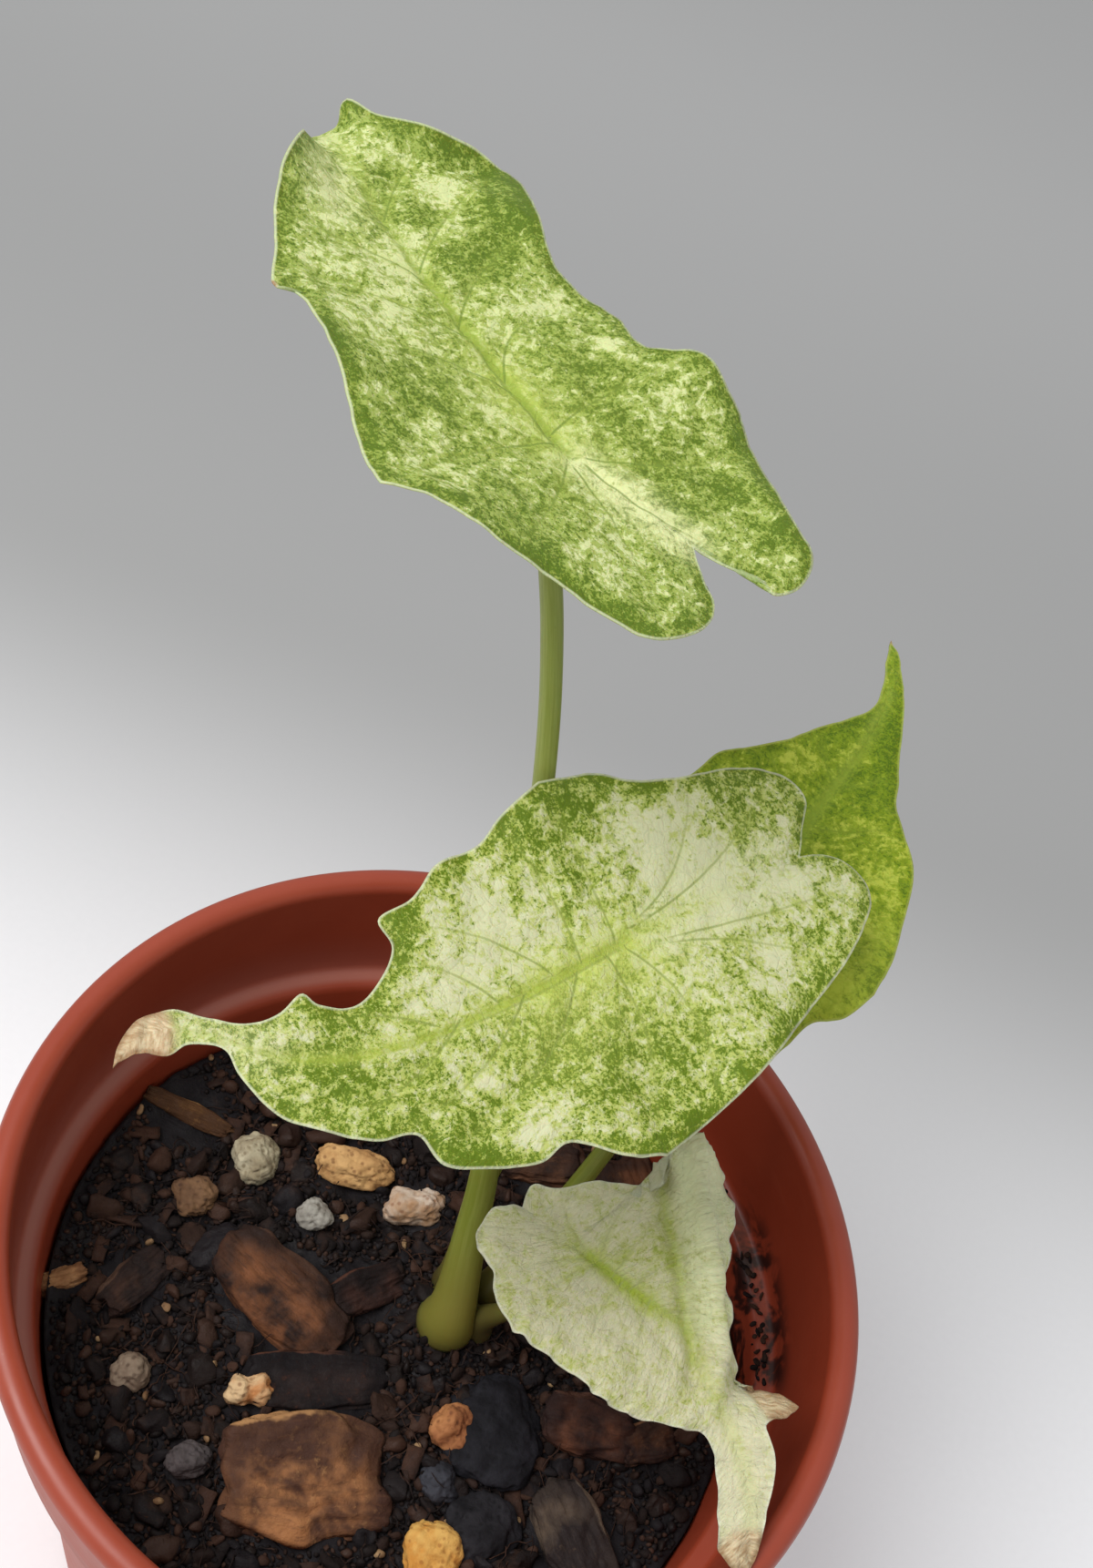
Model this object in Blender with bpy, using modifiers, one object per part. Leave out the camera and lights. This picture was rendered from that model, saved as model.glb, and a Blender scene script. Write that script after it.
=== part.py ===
"""Potted alocasia: a young variegated plant with four leaves, in its 9 cm nursery pot.

Metres, +Z up. The origin is the middle of the pot's underside, and +Y runs away from the front.
Each leaf is drawn flat in millimetres, with x across the leaf and y from the petiole's junction to
the tip, and is then bent along its midrib and folded across it.
"""
import math
import random

import bmesh
import bpy
import numpy as np
from mathutils import Euler, Vector, noise

MM = 0.001
CLEARANCE = 0.3

# Pot, in millimetres
POT_HEIGHT = 80.0
RIM_RADIUS = 45.0
LIP_WIDTH = 3.1
RIM_BAND_DEPTH = 16.0
RIM_BAND_WALL = 1.5
LEDGE_RADIUS = 38.6
LEDGE_WIDTH = 2.3
WALL = 1.3
BASE_RADIUS = 31.5
FLOOR = 1.6
POT_SEGMENTS = 48
DRAIN_HOLES = 8
DRAIN_RADIUS = 3.0
DRAIN_CIRCLE = 21.0

# Soil, in millimetres
SOIL_LEVEL = 58.6
SOIL_RINGS = 8
CRUMB_COUNT = 64
CRUMB_SIZE = (1.2, 2.9)
CROWN = (5.6, 3.6)
CORM_HOLE_RADIUS = 4.8
CORM_HOLE_FLOOR = 13.0

# Rootstock, in millimetres
CROWN_TOP = 61.0
CROWN_RADIUS = 4.3
CORM_BOTTOM = 37.0
ROOT_COUNT = 6
ROOT_RADIUS = 0.6
ROOT_LENGTH = 24.0

# Blades and petioles, in millimetres
BLADE_THICKNESS = 0.65
LOBE_STATIONS = 7
TIP_STATIONS = 14
RIB_ROWS = {"blade_top": 4, "blade_middle": 4, "blade_rear": 4, "blade_small": 9}
RIB_LEAN = 1.35
FOLD_FADE = 5.0
PETIOLE_SIDES_RESOLUTION = 2

# Each blade: where its petiole joins it, how it is turned, how its midrib bends as (y, pitch, heading),
# how each half rises across as (x, degrees), where its halves stand up near the tip as (side, degrees,
# first y, steepest y, last y), its folds as (side, degrees, x and y where the fold starts, x and y where
# it ends, width, last y), its margin's waves, and its outline from the notch between the lobes to the tip
BLADES = {
    "blade_top": {
        "junction": (-17.8, 30.1, 155.4),
        "yaw": 148, "pitch": 2, "roll": -7,
        "bend": [(-20, 3, -6), (0, 0, 0), (26, -1, 11), (37.8, -4, 13), (42, -28, 14), (48, -55, 15),
                 (56, -85, 16)],
        "rise_right": [(0, 5), (8, 6), (14, 12)],
        "rise_left": [(0, 5), (8, 6), (14, 12)],
        "ears": [(1, 30, 34.3, 42.4, 47), (-1, 41, 28, 41.9, 46)],
        "creases": [],
        "waves": [(1, 0.7, 22, 0.1), (-1, 0.7, 20, 0.55)],
        "spine": [(3.4, -13.6), (1.9, -7), (0, 0), (0.4, 14), (0, 28), (1.2, 40), (3, 53)],
        "right": [(4.5, -16.5), (6.2, -19), (6.2, -20.8), (9, -21.5), (12, -20), (13, -16.5), (15.5, -11),
                  (18.4, -4), (18.4, 2.5), (16, 5), (14.6, 7.4), (15.6, 12), (14, 16.5), (13.3, 20.5),
                  (14.6, 26), (15.3, 31), (13.5, 35.3), (10, 38.6), (6.6, 41.5), (5.6, 45)],
        "left": [(1.7, -16.5), (0.9, -18.5), (-1, -19.8), (-4, -20.1), (-8, -19), (-10, -16.2),
                 (-12.5, -11.4), (-15.5, -7.4), (-18.5, -2.2), (-20.8, 0), (-19.2, 3.3), (-16.7, 9),
                 (-15.2, 14.3), (-14.3, 19), (-15.9, 20.2), (-12.8, 25), (-10.5, 30), (-8.1, 34.7),
                 (-3.5, 40), (-1, 44)],
    },
    "blade_middle": {
        "junction": (3.4, 11.2, 121.2),
        "yaw": 235, "pitch": -3, "roll": 13,
        "bend": [(-25, 6, 3), (0, 0, 0), (20, -1, 7), (32, -5, 16), (40, -14, 30), (46, -8, 34)],
        "rise_right": [(0, 2), (8, 3), (14, 6)],
        "rise_left": [(0, 2), (8, 3), (14, 6)],
        "ears": [],
        "creases": [],
        "waves": [(1, 0.6, 15, 0.2), (-1, 0.7, 17, 0.6)],
        "spine": [(-0.3, -22.3), (-0.3, -10), (0, 0), (-0.5, 14), (-0.2, 26), (1.6, 33), (3.6, 37.5),
                  (4.6, 42), (3.6, 45), (1.2, 46.7)],
        "right": [(1.9, -24.3), (4.6, -26.4), (7.7, -25.1), (10, -21), (11.2, -14.2), (12.9, -9.8),
                  (15.1, -6.9), (16.2, -1), (15, 4), (13.5, 7.5), (13.3, 12.3), (11.2, 16.3), (10.6, 20),
                  (7.9, 19.8), (5.6, 22.1), (4.1, 25.2), (5, 28.3), (6.3, 29.6), (5.1, 32), (4.7, 35),
                  (5.6, 39), (6.3, 42), (5.3, 45), (3.2, 46.4)],
        "left": [(-1.1, -25), (-3.7, -27.4), (-7, -27), (-10.6, -21.3), (-13.2, -14.8), (-16, -5.3),
                 (-17.4, 1), (-18.2, 6.5), (-16.6, 10), (-13.5, 13.2), (-13.9, 16), (-12.7, 19.6),
                 (-11, 23), (-7.9, 24.2), (-7.3, 27.5), (-5.3, 31), (-3.2, 34), (0.5, 36.4), (2.8, 37.5),
                 (3.4, 40.5), (2.4, 42.3), (2.6, 44.4), (1.8, 46.2)],
    },
    "blade_rear": {
        "junction": (15.9, 30.9, 109.0),
        "yaw": 80, "pitch": 8, "roll": 2,
        "bend": [(-25, 4, 0), (0, 0, 0), (20, -2, 5), (35, -4, -6), (45, -20, -10)],
        "rise_right": [(0, 7), (8, 8), (14, 10)],
        "rise_left": [(0, 7), (8, 8), (14, 10)],
        "ears": [],
        "creases": [],
        "waves": [(1, 0.6, 16, 0.3), (-1, 0.6, 18, 0.1)],
        "spine": [(0, -11.5), (0, 0), (-0.2, 14), (0.2, 26), (-0.5, 34), (-2.2, 40.6)],
        "right": [(1.5, -14), (4, -18.5), (7.5, -17), (9.3, -12), (10.4, -8.4), (12.9, -6.4), (14.3, -3),
                  (14.3, 2), (13, 9), (11.6, 13), (9.4, 16), (6.4, 19.8), (5.3, 22.5), (3.9, 25.5),
                  (1.3, 33.5), (-0.8, 38.7)],
        "left": [(-1.3, -13), (-3.5, -15.2), (-6.8, -14.6), (-9.6, -11), (-12.3, -6.5), (-14.5, -1),
                 (-13.8, 5), (-12.5, 10.2), (-11.9, 13.1), (-10, 15.3), (-7.1, 19), (-5.2, 23),
                 (-3.7, 25.5), (-1.2, 30), (-1.3, 34), (-1.9, 37)],
    },
    "blade_small": {
        "junction": (14.9, 0.1, 87.0),
        "yaw": -28, "pitch": -4, "roll": 0,
        "bend": [(-20, 4, 0), (0, 0, 0), (10, -2, 2), (17, -12, 20), (24, -16, 32), (34, -16, 32)],
        "rise_right": [(0, 4), (14, 8)],
        "rise_left": [(0, 8), (6, 20)],
        "ears": [],
        "creases": [(-1, 10, 12.3, -5, 0.4, 15, 1.6, 14), (-1, -60, 17.2, -5, 3.2, 15, 1.4, 15)],
        "waves": [(1, 0.5, 9, 0.2), (-1, 0.5, 8, 0.5)],
        "spine": [(2.4, -8.7), (0.9, -3.8), (0, 0), (-1.6, 6.2), (-3, 10), (-2, 15), (-2.6, 20),
                  (-3.3, 25), (-2.4, 31.8)],
        "right": [(3.2, -9.6), (4.7, -10.5), (7, -9.9), (8.9, -8.9), (9.7, -5.4), (11.4, -3.2),
                  (12.2, 0), (11.1, 3.2), (10, 6.3), (9.5, 9.4), (8.2, 12.8), (6.4, 15.3), (4.7, 16.5),
                  (2, 18.2), (0, 19.1), (-0.5, 21.5), (-0.2, 25.7), (0.2, 29.2), (-0.8, 31.4)],
        "left": [(1.1, -9.5), (-0.4, -9.8), (-2.3, -7.9), (-5.5, -6.1), (-8.3, -3.1), (-10, -1.6),
                 (-12.8, -3.2), (-15.1, -3.3), (-17.4, -1.9), (-18.8, 0.5), (-18.2, 3.4), (-15.9, 5.3),
                 (-12.9, 7.1), (-10.7, 8.8), (-9.3, 10.6), (-7.1, 12.9), (-6.5, 16.2), (-7.3, 16.7),
                 (-9.2, 18.4), (-8.6, 19.3), (-6.2, 19.5), (-6.3, 22.7), (-4.8, 27), (-3.4, 30.6)],
    },
}

# Each petiole: its radius at the foot and at the top, and the points that it passes between the crown
# and the blade that it carries
PETIOLES = {
    "petiole_top": {
        "blade": "blade_top", "radii": (1.9, 1.05),
        "points": [(4.8, 1.3, 62.4), (4.3, 2.9, 66.0), (3.1, 6.0, 72.4), (1.9, 8.8, 79.2),
                   (-2.2, 15.6, 98.0), (-8.2, 23.5, 123.0), (-12.7, 27.6, 137.7)],
    },
    "petiole_middle": {
        "blade": "blade_middle", "radii": (1.35, 1.0),
        "points": [(3.6, 5.9, 62.4), (2.7, 9.3, 69.5), (2.6, 11.8, 77.0), (4.0, 13.8, 88.0),
                   (4.6, 13.9, 100.0), (4.2, 12.8, 112.0)],
    },
    "petiole_rear": {
        "blade": "blade_rear", "radii": (1.4, 1.0),
        "points": [(7.7, 5.9, 62.4), (9.2, 9.0, 67.0), (11.6, 13.3, 76.0), (14.2, 20.0, 88.0),
                   (15.9, 26.8, 98.5)],
    },
    "petiole_small": {
        "blade": "blade_small", "radii": (1.25, 0.8),
        "points": [(8.2, 2.1, 62.4), (10.3, 1.6, 68.0), (12.8, 0.6, 77.0), (14.3, 0.1, 82.5)],
    },
}

# Loose pieces on the soil: (x, y, length, width, height, turn in degrees, tilt in degrees)
BARK = {
    "bark_1": (-3.0, -20.5, 16.5, 13.0, 4.6, 22, 14),
    "bark_2": (-12.6, -3.2, 15.5, 8.5, 4.2, -21, 10),
    "bark_3": (22.8, -3.2, 9.5, 6.5, 3.6, 10, 12),
    "bark_4": (25.4, -15.6, 12.0, 7.0, 3.8, -48, 6),
    "bark_5": (20.5, 22.8, 13.0, 8.0, 4.0, 120, -8),
}
PEBBLES = {
    "pebble_cream_1": (-21.4, 10.6, 5.0, 5.4, 4.6, 20, 0),
    "pebble_cream_2": (-2.9, 13.2, 6.8, 4.6, 4.2, -15, 0),
    "pebble_tan_1": (-11.2, 14.4, 8.6, 4.8, 4.2, 10, 0),
    "pebble_tan_2": (-11.8, -14.0, 5.0, 3.8, 3.6, 30, 0),
    "pebble_tan_3": (9.3, -9.6, 5.0, 4.8, 4.4, -40, 0),
    "pebble_yellow": (11.6, -22.3, 6.4, 6.8, 5.2, 15, 0),
    "pebble_white": (-12.9, 6.9, 3.8, 3.8, 3.4, 0, 0),
    "pebble_grey": (-14.6, -23.4, 4.8, 3.6, 3.2, 25, 0),
    "pebble_dim": (-25.6, 3.6, 5.0, 4.4, 3.8, -10, 0),
    "pebble_pale": (-23.6, -17.2, 4.2, 3.8, 3.2, 45, 0),
}

# Colours: red, green, blue, and roughness
FINISHES = {
    "pot": ((0.45, 0.14, 0.09), 0.5),
    "soil": ((0.035, 0.026, 0.02), 0.95),
    "rootstock": ((0.38, 0.4, 0.12), 0.6),
    "petiole": ((0.28, 0.36, 0.08), 0.5),
    "blade_top": ((0.45, 0.55, 0.2), 0.5),
    "blade_middle": ((0.55, 0.62, 0.35), 0.5),
    "blade_rear": ((0.25, 0.42, 0.06), 0.5),
    "blade_small": ((0.62, 0.64, 0.48), 0.55),
    "bark": ((0.2, 0.09, 0.045), 0.9),
    "pebble": ((0.6, 0.45, 0.28), 0.85),
}


def clear_scene():
    """Remove what a new scene holds."""
    for item in list(bpy.data.objects):
        bpy.data.objects.remove(item, do_unlink=True)


def collection(name):
    """A collection of that name, in the scene."""
    group = bpy.data.collections.new(name)
    bpy.context.scene.collection.children.link(group)
    return group


def material(name, finish):
    """A Principled material with the finish's colour and roughness."""
    colour, roughness = FINISHES[finish]
    made = bpy.data.materials.new(name)
    made.use_nodes = True
    shader = made.node_tree.nodes["Principled BSDF"]
    shader.inputs["Base Color"].default_value = (*colour, 1.0)
    shader.inputs["Roughness"].default_value = roughness
    return made


def add_object(name, data, group, finish=None):
    """Put a mesh or curve in the scene as one named object."""
    thing = bpy.data.objects.new(name, data)
    group.objects.link(thing)
    if finish:
        data.materials.append(material(name, finish))
    return thing


def mesh_from_bmesh(name, shape):
    """A mesh made from a bmesh, which is then freed."""
    mesh = bpy.data.meshes.new(name)
    shape.to_mesh(mesh)
    shape.free()
    return mesh


def apply_modifiers(thing):
    """Turn an object's evaluated shape into its own mesh."""
    bpy.context.view_layer.update()
    graph = bpy.context.evaluated_depsgraph_get()
    mesh = bpy.data.meshes.new_from_object(thing.evaluated_get(graph))
    thing.modifiers.clear()
    thing.data = mesh


def as_guide(thing):
    """Mark a cutter: drawn as wire and left out of renders."""
    thing.hide_render = True
    thing.display_type = "WIRE"


# Pot

def wall_radius(z):
    """Inside radius of the pot's tapering wall at a height below the ledge."""
    ledge_height = POT_HEIGHT - RIM_BAND_DEPTH
    return np.interp(z, [FLOOR, ledge_height], [BASE_RADIUS - WALL, LEDGE_RADIUS])


def pot_profile():
    """Half section: up the inside from the middle of the floor, round the lip, down the outside."""
    ledge_height = POT_HEIGHT - RIM_BAND_DEPTH
    lip_radius = LIP_WIDTH / 2
    lip_centre = (RIM_RADIUS - lip_radius, POT_HEIGHT - lip_radius)
    lip = [(lip_centre[0] + lip_radius * math.cos(a), lip_centre[1] + lip_radius * math.sin(a))
           for a in np.radians([180, 135, 90, 45, 0, -35])]
    band_inside = LEDGE_RADIUS + LEDGE_WIDTH
    band_outside = band_inside + RIM_BAND_WALL
    return [
        (0, FLOOR),
        (BASE_RADIUS - WALL, FLOOR),
        (LEDGE_RADIUS, ledge_height),
        (band_inside, ledge_height + 0.4),
        *lip,
        (band_outside + 0.7, POT_HEIGHT - LIP_WIDTH),
        (band_outside, ledge_height - 0.6),
        (LEDGE_RADIUS + WALL, ledge_height - 1.2),
        (BASE_RADIUS, 1.0),
        (BASE_RADIUS - 1.0, 0),
        (0, 0),
    ]


def make_pot(group, cutters):
    """The turned pot, with drain holes round its floor."""
    shape = bmesh.new()
    points = [shape.verts.new((r * MM, 0, z * MM)) for r, z in pot_profile()]
    for first, second in zip(points, points[1:]):
        shape.edges.new((first, second))
    pot = add_object("pot", mesh_from_bmesh("pot", shape), group, "pot")
    screw = pot.modifiers.new("turned", "SCREW")
    screw.axis = "Z"
    screw.steps = POT_SEGMENTS
    screw.render_steps = POT_SEGMENTS
    screw.use_merge_vertices = True
    screw.merge_threshold = 0.00001
    for index in range(DRAIN_HOLES):
        angle = 2 * math.pi * (index + 0.5) / DRAIN_HOLES
        drill = bmesh.new()
        bmesh.ops.create_cone(drill, cap_ends=True, segments=12, radius1=DRAIN_RADIUS * MM,
                              radius2=DRAIN_RADIUS * MM, depth=6 * MM)
        hole = add_object(f"drain_cutter_{index}", mesh_from_bmesh("drain_cutter", drill), cutters)
        hole.location = (DRAIN_CIRCLE * MM * math.cos(angle), DRAIN_CIRCLE * MM * math.sin(angle), 0)
        as_guide(hole)
        cut = pot.modifiers.new("drain", "BOOLEAN")
        cut.operation = "DIFFERENCE"
        cut.object = hole
    return pot


# Soil and what lies on it

def soil_height(x, y):
    """The relief of the soil's surface, in millimetres."""
    broad = noise.noise(Vector((x / 9.0, y / 9.0, 3.1)))
    fine = noise.noise(Vector((x / 3.6, y / 3.6, 7.7)))
    return SOIL_LEVEL + 1.3 * broad + 0.6 * fine


def soil_body():
    """The filled body: relief rings on top, a tapered side clear of the pot, and a flat bottom."""
    shape = bmesh.new()
    bottom = FLOOR + CLEARANCE
    edge = wall_radius(SOIL_LEVEL) - CLEARANCE - 0.1
    angles = [2 * math.pi * i / POT_SEGMENTS for i in range(POT_SEGMENTS)]
    rings = []
    for k in range(1, SOIL_RINGS + 1):
        radius = edge * (k / SOIL_RINGS) ** 0.8
        ring = []
        for a in angles:
            x, y = radius * math.cos(a), radius * math.sin(a)
            height = SOIL_LEVEL - 1.0 if k == SOIL_RINGS else soil_height(x, y)
            ring.append(shape.verts.new((x * MM, y * MM, height * MM)))
        rings.append(ring)
    low = (wall_radius(bottom) - CLEARANCE - 0.1) * MM
    rings.append([shape.verts.new((low * math.cos(a), low * math.sin(a), bottom * MM)) for a in angles])
    top = shape.verts.new((0, 0, soil_height(0, 0) * MM))
    under = shape.verts.new((0, 0, bottom * MM))
    count = len(angles)
    for i in range(count):
        j = (i + 1) % count
        shape.faces.new((top, rings[0][i], rings[0][j]))
        shape.faces.new((under, rings[-1][j], rings[-1][i]))
        for inner, outer in zip(rings, rings[1:]):
            shape.faces.new((inner[i], outer[i], outer[j], inner[j]))
    bmesh.ops.triangulate(shape, faces=shape.faces)
    return mesh_from_bmesh("soil", shape)


def lump(size, seed, subdivisions, roughness):
    """A bmesh pebble or crumb of the given length, width and height, roughened by noise."""
    shape = bmesh.new()
    bmesh.ops.create_icosphere(shape, subdivisions=subdivisions, radius=0.5)
    for vert in shape.verts:
        bump = noise.noise(vert.co * 2.2 + Vector((seed, 0, 0)))
        vert.co *= 1 + roughness * bump
        vert.co = Vector((vert.co.x * size[0], vert.co.y * size[1], vert.co.z * size[2])) * MM
    return shape


def slab(size, seed):
    """A bmesh bark chip: a thick plate with ragged sides and a split end."""
    shape = bmesh.new()
    bmesh.ops.create_cube(shape, size=1.0)
    bmesh.ops.subdivide_edges(shape, edges=shape.edges, cuts=1, use_grid_fill=True)
    for vert in shape.verts:
        along, across = vert.co.x, vert.co.y
        narrow = 1 - 0.35 * abs(along) * (1 + 0.5 * noise.noise(Vector((seed, across, along))))
        arch = 0.22 * (0.25 - across * across)
        ragged = 0.16 * noise.noise(vert.co * 3.1 + Vector((seed, seed, 0)))
        vert.co = Vector(((along + ragged * 0.5) * size[0], across * narrow * (1 + ragged) * size[1],
                          (vert.co.z + arch + ragged * 0.6) * size[2])) * MM
    bmesh.ops.triangulate(shape, faces=shape.faces)
    return shape


def place(shape, x, y, z, turn, tilt):
    """Tilt and turn a bmesh about its own middle, in degrees, and move it to its place."""
    rotation = Euler((math.radians(tilt), math.radians(tilt * 0.6), math.radians(turn)), "XYZ").to_matrix()
    for vert in shape.verts:
        vert.co = rotation @ vert.co + Vector((x, y, z)) * MM


def loose_pieces(group, cutters):
    """Bark chips and pebbles, each with a slightly larger cutter that beds it in the soil."""
    beds = []
    kinds = [(BARK, "bark", 0.32), (PEBBLES, "pebble", 0.2)]
    for pieces, finish, sunk in kinds:
        for index, (name, (x, y, length, width, height, turn, tilt)) in enumerate(pieces.items()):
            size = (length, width, height)
            seed = 3.7 * index + len(finish)
            made = slab(size, seed) if finish == "bark" else lump(size, seed, 2, 0.3)
            place(made, x, y, soil_height(x, y) + height * (0.5 - sunk), turn, tilt)
            made.normal_update()
            bed = made.copy()
            for vert in bed.verts:
                vert.co += vert.normal * CLEARANCE * MM * 1.2
            piece = add_object(name, mesh_from_bmesh(name, made), group, finish)
            if finish == "pebble":
                piece.data.shade_smooth()
            beds.append(add_object(f"{name}_bed", mesh_from_bmesh(f"{name}_bed", bed), cutters))
            as_guide(beds[-1])
    return beds


def crumb_places():
    """Places for crumbs, clear of the crown, the loose pieces and the pot's wall."""
    draw = random.Random(41)
    edge = wall_radius(SOIL_LEVEL) - 3.2
    taken = [(x, y, 0.5 * max(length, width) + 0.6)
             for x, y, length, width, *_ in [*BARK.values(), *PEBBLES.values()]]
    taken.append((*CROWN, CORM_HOLE_RADIUS + 0.8))
    places = []
    while len(places) < CRUMB_COUNT:
        radius = edge * math.sqrt(draw.random())
        angle = 2 * math.pi * draw.random()
        x, y = radius * math.cos(angle), radius * math.sin(angle)
        size = draw.uniform(*CRUMB_SIZE)
        if all(math.hypot(x - a, y - b) > gap + size for a, b, gap in taken):
            taken.append((x, y, size * 0.9))
            places.append((x, y, size))
    return places


def make_soil(group, cutters, beds):
    """The soil with its crumbs fused in, the rootstock's plain hole, and a bed for each loose piece."""
    soil = add_object("soil", soil_body(), group, "soil")
    crumbs = collection("soil_crumbs")
    draw = random.Random(7)
    for index, (x, y, size) in enumerate(crumb_places()):
        spread = (size * 2, size * draw.uniform(1.3, 2.0), size * draw.uniform(1.2, 1.7))
        shape = lump(spread, index * 1.9, 1, 0.35)
        place(shape, x, y, soil_height(x, y) + size * 0.12, draw.uniform(0, 360), draw.uniform(-25, 25))
        add_object(f"crumb_{index}", mesh_from_bmesh("crumb", shape), crumbs)
    union = soil.modifiers.new("crumbs", "BOOLEAN")
    union.operation = "UNION"
    union.operand_type = "COLLECTION"
    union.collection = crumbs
    apply_modifiers(soil)
    for crumb in list(crumbs.objects):
        bpy.data.objects.remove(crumb, do_unlink=True)
    bpy.data.collections.remove(crumbs)

    depth = POT_HEIGHT - CORM_HOLE_FLOOR
    drill = bmesh.new()
    bmesh.ops.create_cone(drill, cap_ends=True, segments=20, radius1=CORM_HOLE_RADIUS * MM,
                          radius2=CORM_HOLE_RADIUS * MM, depth=depth * MM)
    hole = add_object("rootstock_cutter", mesh_from_bmesh("rootstock_cutter", drill), cutters)
    hole.location = (CROWN[0] * MM, CROWN[1] * MM, (CORM_HOLE_FLOOR + depth / 2) * MM)
    as_guide(hole)
    for cutter in [hole, *beds]:
        cut = soil.modifiers.new("bed", "BOOLEAN")
        cut.operation = "DIFFERENCE"
        cut.object = cutter
    return soil


# Rootstock

def make_rootstock(group):
    """The corm with its crown, turned, and the roots that hang from it, joined as one body."""
    profile = [(0, CROWN_TOP), (CROWN_RADIUS - 0.5, CROWN_TOP), (CROWN_RADIUS, CROWN_TOP - 0.6),
               (CROWN_RADIUS - 0.5, 56.0), (3.6, 52.0), (4.3, 47.0), (4.1, 42.0), (2.8, CORM_BOTTOM + 1.2),
               (0, CORM_BOTTOM)]
    shape = bmesh.new()
    points = [shape.verts.new((r * MM, 0, z * MM)) for r, z in profile]
    for first, second in zip(points, points[1:]):
        shape.edges.new((first, second))
    stock = add_object("rootstock", mesh_from_bmesh("rootstock", shape), group, "rootstock")
    stock.location = (CROWN[0] * MM, CROWN[1] * MM, 0)
    screw = stock.modifiers.new("turned", "SCREW")
    screw.steps = 16
    screw.render_steps = 16
    screw.use_merge_vertices = True
    screw.merge_threshold = 0.00001
    apply_modifiers(stock)

    roots = collection("roots")
    for index in range(ROOT_COUNT):
        angle = 2 * math.pi * index / ROOT_COUNT
        radii = (ROOT_RADIUS * 1.3, ROOT_RADIUS)
        root = add_object(f"root_{index}", tube(f"root_{index}", root_points(angle, index), radii, 0), roots)
        curve_to_mesh(root, roots)
    union = stock.modifiers.new("roots", "BOOLEAN")
    union.operation = "UNION"
    union.operand_type = "COLLECTION"
    union.collection = roots
    apply_modifiers(stock)
    for root in list(roots.objects):
        bpy.data.objects.remove(root, do_unlink=True)
    bpy.data.collections.remove(roots)
    return stock


def root_points(angle, index):
    """A root from inside the corm down its hole, with a slight wave."""
    steps = 7
    points = []
    for k in range(steps):
        t = k / (steps - 1)
        reach = 1.5 + 1.6 * min(1.0, 3 * t)
        sway = angle + 0.25 * math.sin(3.0 * t + index)
        points.append((CROWN[0] + reach * math.cos(sway), CROWN[1] + reach * math.sin(sway),
                       CORM_BOTTOM + 5.0 - ROOT_LENGTH * t - index % 3 * 1.3 * t))
    return points


def curve_to_mesh(thing, group):
    """Replace a curve object by a mesh object with its caps welded, ready for a Boolean."""
    bpy.context.view_layer.update()
    graph = bpy.context.evaluated_depsgraph_get()
    mesh = bpy.data.meshes.new_from_object(thing.evaluated_get(graph))
    name = thing.name
    matrix = thing.matrix_world.copy()
    bpy.data.objects.remove(thing, do_unlink=True)
    shape = bmesh.new()
    shape.from_mesh(mesh)
    bmesh.ops.remove_doubles(shape, verts=shape.verts, dist=0.000001)
    shape.to_mesh(mesh)
    shape.free()
    made = bpy.data.objects.new(name, mesh)
    made.matrix_world = matrix
    group.objects.link(made)
    return made


def tube(name, points, radii, resolution):
    """A round tube along points in millimetres, tapering from the first radius to the second."""
    curve = bpy.data.curves.new(name, "CURVE")
    curve.dimensions = "3D"
    curve.bevel_depth = MM
    curve.bevel_resolution = resolution
    curve.use_fill_caps = True
    line = curve.splines.new("POLY")
    line.points.add(len(points) - 1)
    for index, (point, place_on) in enumerate(zip(points, line.points)):
        t = index / (len(points) - 1)
        place_on.co = (*[c * MM for c in point], 1.0)
        place_on.radius = radii[0] + (radii[1] - radii[0]) * min(1.0, t * 2.2)
    return curve


# Blades

def ease(t):
    """A smooth step from 0 to 1."""
    t = np.clip(t, 0.0, 1.0)
    return t * t * (3 - 2 * t)


def smooth_curve(points, fractions):
    """Points at fractions of the length of a Catmull-Rom curve through the given points."""
    known = np.array(points, dtype=float)
    padded = np.vstack([2 * known[0] - known[1], known, 2 * known[-1] - known[-2]])
    fine = []
    for a, b, c, d in zip(padded, padded[1:], padded[2:], padded[3:]):
        for t in np.linspace(0, 1, 12, endpoint=False):
            fine.append(0.5 * (2 * b + (c - a) * t + (2 * a - 5 * b + 4 * c - d) * t * t
                               + (3 * b - a - 3 * c + d) * t ** 3))
    fine = np.array([*fine, known[-1]])
    length = np.concatenate([[0], np.cumsum(np.linalg.norm(np.diff(fine, axis=0), axis=1))])
    at = np.asarray(fractions) * length[-1]
    return np.stack([np.interp(at, length, fine[:, k]) for k in range(fine.shape[1])], axis=1)


def blade_axes(blade):
    """Unit vectors at the junction: across to the right, along to the tip, and out of the face."""
    yaw, pitch, roll = (math.radians(blade[key]) for key in ("yaw", "pitch", "roll"))
    along = np.array([math.cos(yaw) * math.cos(pitch), math.sin(yaw) * math.cos(pitch), math.sin(pitch)])
    level = np.cross(along, [0, 0, 1])
    level /= np.linalg.norm(level)
    out = np.cross(level, along)
    across = level * math.cos(roll) + out * math.sin(roll)
    return np.array([across, along, out * math.cos(roll) - level * math.sin(roll)])


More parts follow.
